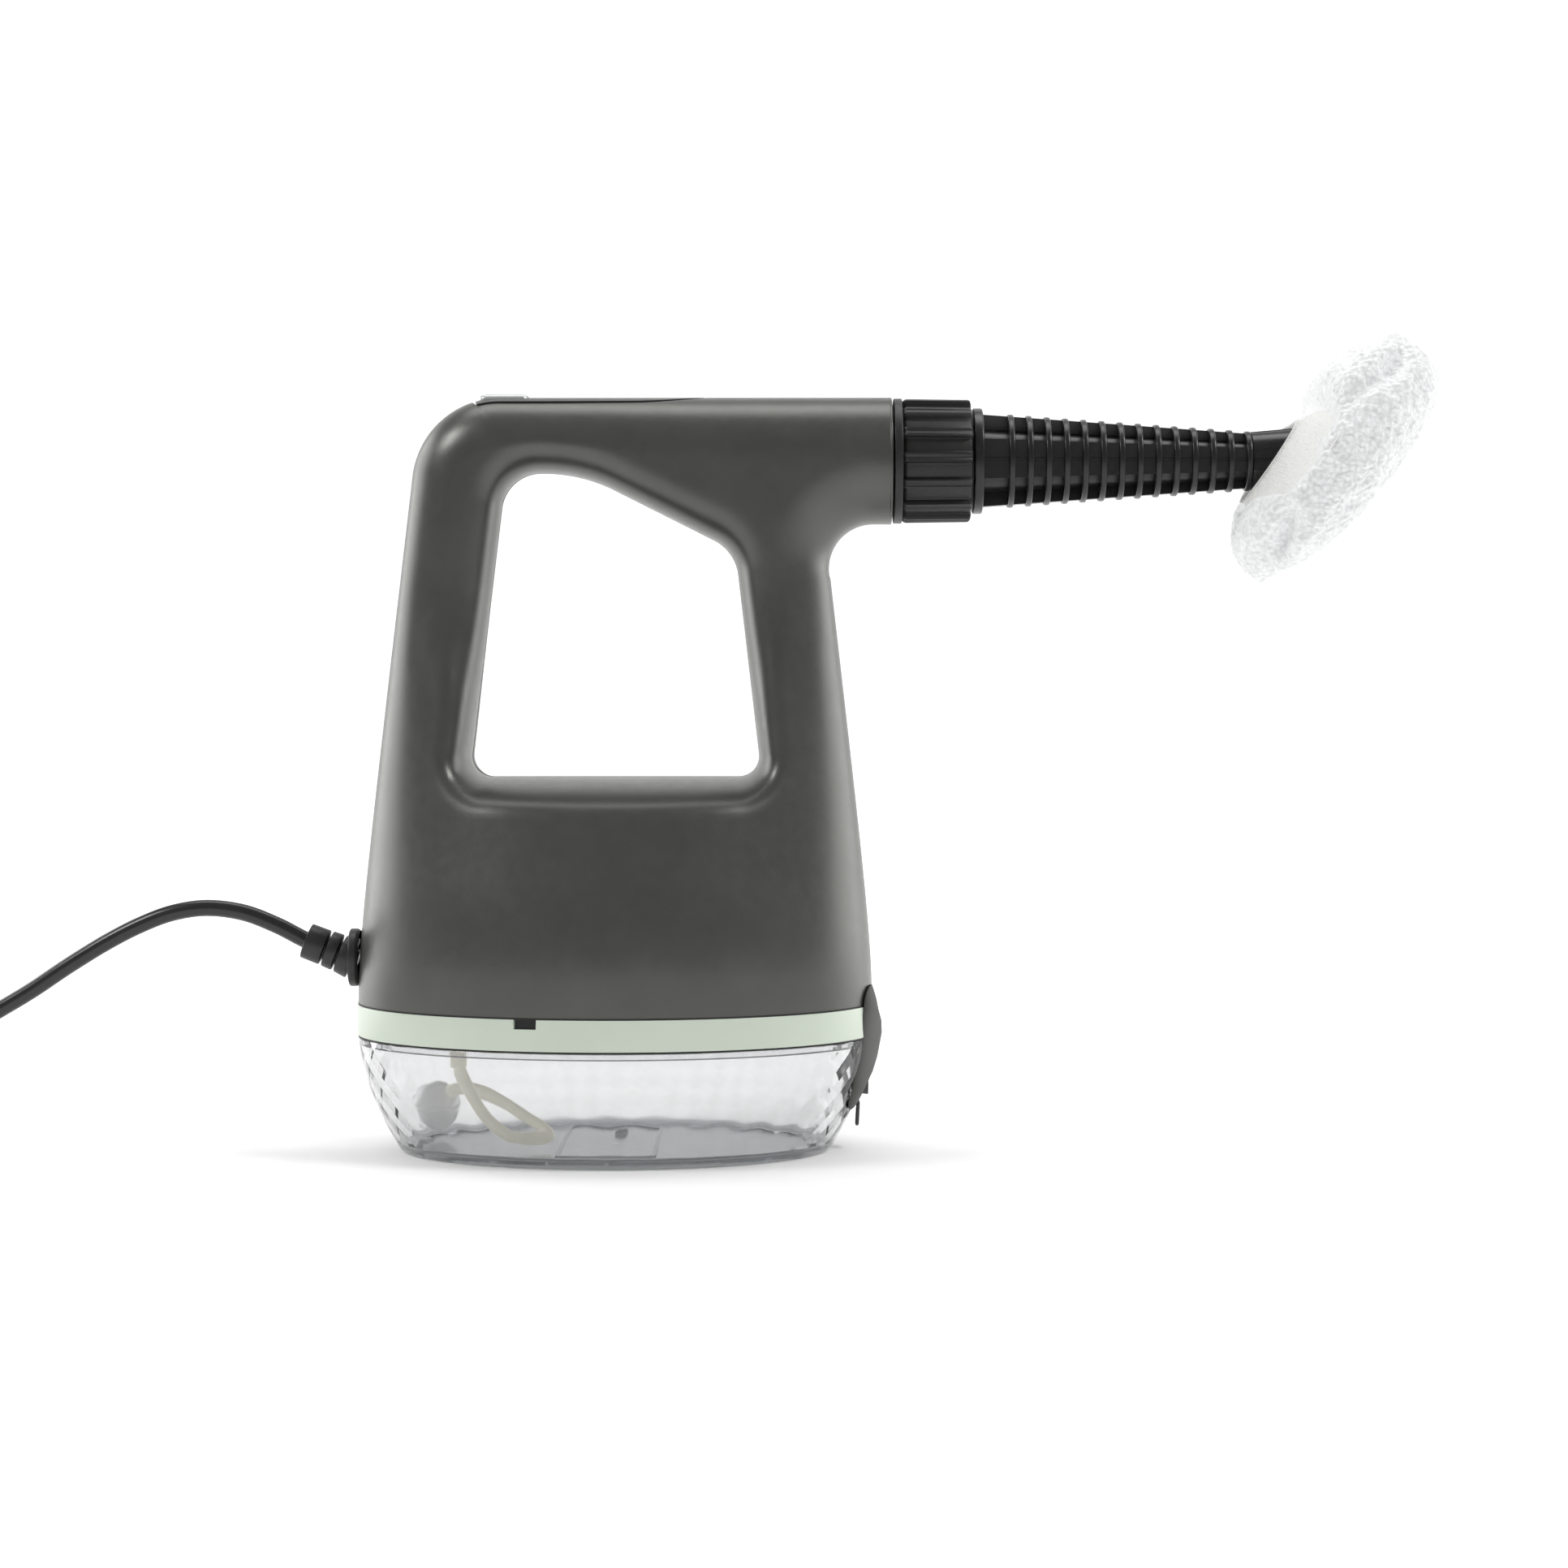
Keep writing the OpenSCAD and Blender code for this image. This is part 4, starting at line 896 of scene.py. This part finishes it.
def add_nozzle(material):
    """Extension nozzle: cored body, rings, flange and the spigot that plugs into the collar."""
    last = NOZZLE_X1 - RING_W
    starts = [last - i * RING_PITCH for i in range(RING_COUNT)]
    sheets = [core_sheet([140, *sorted(starts), NOZZLE_X1 - 0.4], nozzle_r, (0.055, 0.43), (0.0, 0.22), 0.70)]
    flange = [(136.2, 9), (136.2, 20.15), (139.8, 20.15), (140.0, 17.6), (140.2, 12)]
    sheets.append(turned(rounded(flange, 0.7, 4), 144))
    sheets.append(turned([(136.3, 13.5), (NOZZLE_X0, 13.5), (NOZZLE_X0, 9.1), (136, 9.1)], 96))
    for x in starts:
        r = nozzle_r(x) + 0.95
        low = r * 0.7
        sheets.append(turned(rounded([(x, low), (x, r), (x + RING_W, r), (x + RING_W, low)], 0.75, 4), 144))
    end = nozzle_r(NOZZLE_X1)
    socket = [(NOZZLE_X1 - 0.5, end), (NOZZLE_X1, end), (NOZZLE_X1, 7.2), (226, 7.2)]
    sheets.append(turned(rounded(socket, 0.4, 3), 96))
    build("extension_nozzle_body", sheets, material, "nozzle", ["extension_nozzle"], sharp=30)


# ---------------------------------------------------------------- cleaning head and its cloth cover
HEAD_AT, HEAD_TILT, PLATE_R, PLATE_OVAL = np.array((278, 0, 264)), math.radians(34), 38, 0.94
ALONG = np.array((math.sin(HEAD_TILT), 0, math.cos(HEAD_TILT)))
ACROSS = np.array((0, 1, 0))
FACING = np.array((math.cos(HEAD_TILT), 0, -math.sin(HEAD_TILT)))


def head_point(along, across, facing):
    """Point from its places along the head, across it and out of its face."""
    return HEAD_AT + along[..., None] * ALONG + across[..., None] * ACROSS + facing[..., None] * FACING


def neck_axis(facing):
    """Place along the head where the nozzle's axis crosses a plane parallel to its face."""
    below = HEAD_AT[2] - BARREL_Z
    x = (facing - below * math.sin(HEAD_TILT)) / math.cos(HEAD_TILT)
    return x * math.sin(HEAD_TILT) - below * math.cos(HEAD_TILT)


def neck_r(x):
    return float(np.interp(x, [242.4, 262, 284], [11.2, 12.9, 13.5]))


def add_head(material):
    """Cleaning head: flared neck, spigot and the oval plate inside the cover."""
    sheets = [core_sheet([242.4, 246, 250, 255, 262, 270, 278], neck_r, (0.09, 0.36), (0.02, 0.2), 0.985)]
    sheets.append(turned([(242.4, 11), (242.4, 7.1), (233, 7.1), (231.8, 5.05), (227, 5.05), (227, 3.4)], 96))
    profile = np.array([(0.01, -3), (PLATE_R - 3, -3), (PLATE_R - 1, -2.4), (PLATE_R, 0), (PLATE_R, 4.8),
                        (PLATE_R - 0.5, 5.7), (PLATE_R - 1.5, 6), (0.01, 6)])
    a = np.linspace(0, 2 * math.pi, 97)[:-1, None]
    r, n = profile[None, :, 0], np.repeat(profile[None, :, 1], len(a), 0)
    sheets.append(sheet_of(head_point(r * np.sin(a), PLATE_OVAL * r * np.cos(a), n), wrap=True))
    build("head_neck", sheets, material, "tool", ["tool_head"], sharp=25)


COVER_HALF, COVER_MID = np.array((53.5, 50.0, 21.5)), np.array((-3.5, 0.0, -4.0))
COVER_POWER = 2.5
# Places along the head and out of its face of the two dimples by the lobes' ends, and their width
DIMPLES = ((37.5, -7.5, 7.5), (-44.5, -6, 8.5))
# Line of the fold between the cover's front and back lobes: places along the head and out of its face
FOLD = np.array([(40, -6), (36, -8.5), (15, -15), (-4.5, -14.5), (-30, -13), (-44, -6.5), (-49, -3)], float)


def cube_sphere(n):
    """Directions evenly over a sphere with the quads that join them, six patches of n by n."""
    t = np.tan(np.linspace(-math.pi / 4, math.pi / 4, n + 1))
    u, v = np.meshgrid(t, t, indexing="ij")
    one = np.ones_like(u)
    patches = [(u, v, one), (v, u, -one), (one, u, v), (-one, v, u), (v, one, u), (u, -one, v)]
    sheets = [sheet_of(np.stack(p, -1)) for p in patches]
    verts = np.concatenate([s[0] for s in sheets])
    faces = np.concatenate([s[1] + k * (n + 1) ** 2 for k, s in enumerate(sheets)])
    keys = np.round(verts / np.linalg.norm(verts, axis=1)[:, None], 7)
    keys, index = np.unique(keys, axis=0, return_inverse=True)
    return keys, index.reshape(-1)[faces]


def fractal(points, scale, depth=2):
    return np.array([noise.fractal(Vector(p) / scale, 0.8, 2.0, depth) for p in points])


def add_cover(material):
    """Towelling cover: a tilted pad with a fold round its back, dimpled ends and looped pile."""
    turn, faces = cube_sphere(128)
    size = (np.abs(turn / COVER_HALF) ** COVER_POWER).sum(1) ** (-1 / COVER_POWER)
    point = turn * size[:, None] + COVER_MID
    along, across, facing = point.T.copy()
    facing = facing + np.where(facing > 0, 0.09 * along * ease(facing / 10), 0)
    facing = facing - 3.0 * np.exp(-((along - 24) / 12) ** 2) * ease(-facing / 16)
    # channel across the back, between a lobe at each end, where the knit shows
    lobe = np.maximum(ease((along - 3) / 13), ease((-28 - along) / 9))
    depth = facing + 14 + 12 * lobe + 0.9 * np.sin(along / 5.5 + across / 9)
    facing = facing - depth + (depth + np.sqrt(depth ** 2 + 9)) / 2
    centre = neck_axis(facing)
    fill = 1 - ease((np.hypot(along - centre, across) - 17) / 9)
    facing = np.where(facing < -13, facing + (-13.5 - facing) * fill, facing)
    place = np.stack([along, facing], -1)
    gap = np.full(len(place), 1e9)
    for a, b in zip(FOLD[:-1], FOLD[1:]):
        t = np.clip(((place - a) @ (b - a)) / ((b - a) @ (b - a)), 0, 1)
        gap = np.minimum(gap, np.linalg.norm(place - a - t[:, None] * (b - a), axis=1))
    dent = 4.2 * np.exp(-(gap / 3.6) ** 2) * ease((np.abs(across) - 6) / 14) * lobe
    for la, fa, wide in DIMPLES:
        away_2 = ((along - la) / wide) ** 2 + ((facing - fa) / (wide * 0.6)) ** 2
        dent += 4.5 * np.exp(-away_2) * ease((np.abs(across) - 10) / 14)
    body = head_point(along, across, facing)
    away = body - (HEAD_AT + COVER_MID[0] * ALONG + COVER_MID[2] * FACING)
    away /= np.linalg.norm(away, axis=1)[:, None]
    lumps = 1.6 * fractal(body, 17) + 0.8 * fractal(body + 50, 6)
    stretch = body * [0.62, 1, 1.15]
    pile = np.array([noise.voronoi(Vector(p) / 2.2)[0][0] for p in stretch])
    body = body + away * (lumps - dent + 1.7 * (0.5 - pile) - 0.6)[:, None]
    cover = build("towelling_cover", [(body, faces)], material, "tool", ["bonnet"])


def add_cuff(material):
    """Knitted cuff: snug on the neck, spreading to the fold of the cover."""
    angle = np.linspace(0, 2 * math.pi, 721)[:-1, None]
    side = np.sin(angle) ** 2
    t = np.linspace(0, 1, 26)[None]
    steps = np.concatenate([np.zeros(5), t[0]])[None]
    r = 15.6 + (9 + 24 * side) * steps ** 1.25
    facing = -22.6 + (6.0 + 6.0 * side) * steps ** 0.85 + 0 * angle
    roll = np.linspace(0, 1, 5)
    r = np.broadcast_to(r, facing.shape).copy()
    r[:, :5] = 13.3 + 2.3 * np.sin(roll * math.pi / 2)
    facing[:, :5] = -22.6 + 1.3 * (1 - np.sin(roll * math.pi / 2)) - 0.8 * np.sin(roll * math.pi)
    facing[:, :12] -= 5 * np.exp(-((angle - 0.9) / 0.35) ** 2) * (1 - np.linspace(0, 1, 12) ** 2)
    ribs = 0.2 * np.cos(angle * 120) + 0.12 * np.cos(steps * 90)
    gathers = 0.45 * np.sin(angle * 9 + 1.2) * steps * (1 - steps)
    r = r + ribs + gathers
    longer = 1 / math.cos(HEAD_TILT) * (1 - steps) + steps
    points = head_point(neck_axis(facing) + r * np.cos(angle) * longer, r * np.sin(angle), facing)
    build("knitted_cuff", [sheet_of(points, wrap=True)], material, "tool", ["bonnet_elastic"])


# ---------------------------------------------------------------- cord fittings
FLANGE_X, GLAND_Z, RELIEF_L = -98.4, 73, 18


def about(axis_start, direction, line, n=64):
    """Sheet turned about any axis in the plane Y = 0 from (distance, radius) points."""
    d = np.array(direction, float) / np.linalg.norm(direction)
    up = np.array((d[2], 0, -d[0]))
    a = np.linspace(0, 2 * math.pi, n, endpoint=False)[:, None, None]
    line = np.array(line, float)
    s, r = line[None, :, :1], line[None, :, 1:]
    return sheet_of(np.array(axis_start) + s * d + r * (np.cos(a) * up + np.sin(a) * ACROSS), wrap=True)


def add_relief(material):
    """Flange and ribbed strain relief of the cord."""
    disc = rounded([(-1, 10.2), (0, 11), (3, 11), (3.0, 3.3)], 0.8, 4)
    flange = about((FLANGE_X, 0, GLAND_Z), (-1, 0, 0), disc)
    relief = [(-1.0, 3.3), (-1.0, 8)]
    for s, r in ((4.1, 7.3), (9.3, 7.0)):
        relief += [(s, r), (s + 0.1, 4.6), (s + 0.9, 4.5), (s + 1.0, r - 0.1)]
    relief += [(RELIEF_L - 0.2, 6.8), (RELIEF_L, 6.0), (RELIEF_L, 3.1)]
    direction = (-math.cos(RELIEF_TILT), 0, math.sin(RELIEF_TILT))
    body = about((FLANGE_X - 3.05, 0, GLAND_Z), direction, rounded(relief, 0.5, 2))
    a = build("cord_entry_flange", [flange], material, "casing", ["cord_flange"], sharp=40)
    b = build("cord_strain_relief", [body], material, "casing", ["strain_relief"], sharp=40)
    return a, b


def add_plug(material):
    """Two-pin plug body, lofted from the cord to its face."""
    stations = [(-6, 3.4, 3.4), (-5.5, 4.3, 4.3), (0, 4.6, 4.6), (2, 4.9, 4.9), (3, 4.2, 4.2),
                (4.5, 4.2, 4.2), (5.5, 5.2, 5.2), (8, 5.6, 5.6), (11, 7.2, 6.2), (13, 12, 7.0),
                (15, 16, 7.35), (18, 17.4, 7.4), (28, 17.4, 7.4), (34.6, 17.2, 7.3), (35.6, 16.8, 6.9),
                (36, 15.8, 6.2), (36, 8, 3), (36, 0.02, 0.02)]
    rings = []
    for y, u, v in stations:
        ring = rounded_box(u, v, min(u, v) * 0.98, 8)
        rings.append(np.array(PLUG_AT) + np.stack([ring[:, 0], np.full(len(ring), y), ring[:, 1]], -1))
    return build("plug_moulding", [loft(rings)], material, "casing", ["plug_body"], sharp=50)


add_tank()
add_band(plain("band_mint", (0.66, 0.735, 0.625), 0.33, grain=0.02, lump=(2200, 0.03), fine=40))
add_seals_and_shade(plain("seal_and_shade_black", (0.010, 0.010, 0.010), 0.6, grain=0.1, lump=(2500, 0.1)))
add_stopper(plain("stopper_rubber", (0.060, 0.060, 0.057), 0.62, grain=0.10, lump=(2300, 0.22)))
# The hose, its sleeve and the weight glow a little through their emission: painted light that brightens them
# behind the tank's wall.
add_pickup(plain("hose_silicone_glowing", (0.95, 0.94, 0.85), 0.30, grain=0.05, lump=(700, 0.06),
                 Transmission_Weight=0.15, Emission_Color=(1.0, 0.98, 0.88, 1), Emission_Strength=0.16),
           plain("weight_plastic_glowing", (0.95, 0.96, 0.96), 0.12, grain=0.02, lump=(900, 0.02), Coat_Weight=0.4,
                 Emission_Color=(1, 1, 1, 1), Emission_Strength=0.16))
add_button(plain("button_silver", (0.60, 0.61, 0.61), 0.30, 0.45, grain=0.03, lump=(3000, 0.03)))
add_collar(plain("collar_black", (0.014, 0.014, 0.0135), 0.42, grain=0.14, lump=(2600, 0.22)))
add_nozzle(plain("nozzle_black", (0.010, 0.010, 0.010), 0.30, grain=0.12, lump=(2400, 0.10)))
add_head(plain("head_black", (0.008, 0.008, 0.008), 0.26, grain=0.12, lump=(2400, 0.06)))
# The towelling glows a little through its emission: painted light that brightens it.
towelling = plain("towelling", (0.95, 0.96, 0.965), 0.95, grain=0.03, lump=(1500, 0.5), fine=260,
                  Sheen_Weight=0.6, Emission_Color=(1, 1, 1, 1), Emission_Strength=0.10)
add_cover(looped(towelling, 540, 0.0006, 0.80))
# The knit glows a little through its emission too: painted light.
knit = plain("knit", (0.95, 0.945, 0.925), 0.9, grain=0.03, lump=(1800, 0.3), fine=500, Sheen_Weight=0.6,
             Emission_Color=(1, 1, 1, 1), Emission_Strength=0.05)
add_cuff(looped(knit, 1250, 0.0003, 0.9))
relief_rubber = plain("relief_rubber", (0.020, 0.020, 0.020), 0.42, grain=0.1, lump=(2400, 0.12))
flange_piece, relief_piece = add_relief(relief_rubber)
plug_piece = add_plug(relief_rubber)

# ---------------------------------------------------------------- finishes of the CAD nodes that stay
KEPT = {
    "zinc_steel": ((0.58, 0.58, 0.57), 0.32, 1.0), "spring_steel": ((0.55, 0.55, 0.56), 0.25, 1.0),
    "terminal_brass": ((0.60, 0.47, 0.22), 0.3, 1.0), "cast_aluminium": ((0.60, 0.60, 0.61), 0.45, 1.0),
    "plug_nickel": ((0.68, 0.66, 0.62), 0.18, 1.0), "white_plastic": ((0.78, 0.78, 0.76), 0.5, 0.0),
    "switch_plastic": ((0.04, 0.04, 0.04), 0.45, 0.0), "board": ((0.04, 0.22, 0.09), 0.4, 0.0),
    "pump_body": ((0.72, 0.71, 0.66), 0.45, 0.0), "rubber_black": ((0.02, 0.02, 0.02), 0.7, 0.0),
    "seal_rubber": ((0.24, 0.04, 0.03), 0.5, 0.0), "silicone": ((0.75, 0.74, 0.70), 0.4, 0.0),
    "wire": ((0.45, 0.04, 0.03), 0.4, 0.0), "black_plastic": ((0.02, 0.02, 0.02), 0.45, 0.0),
}
finishes = {name: plain("cad_" + name, *values) for name, values in KEPT.items()}
slot_of = {row["node"]: row["material_slot"] for row in frame["record"]["subparts"]}
for node, cad in frame["nodes"].items():
    if slot_of[node] in finishes:
        for material_slot in cad.material_slots:
            material_slot.material = finishes[slot_of[node]]
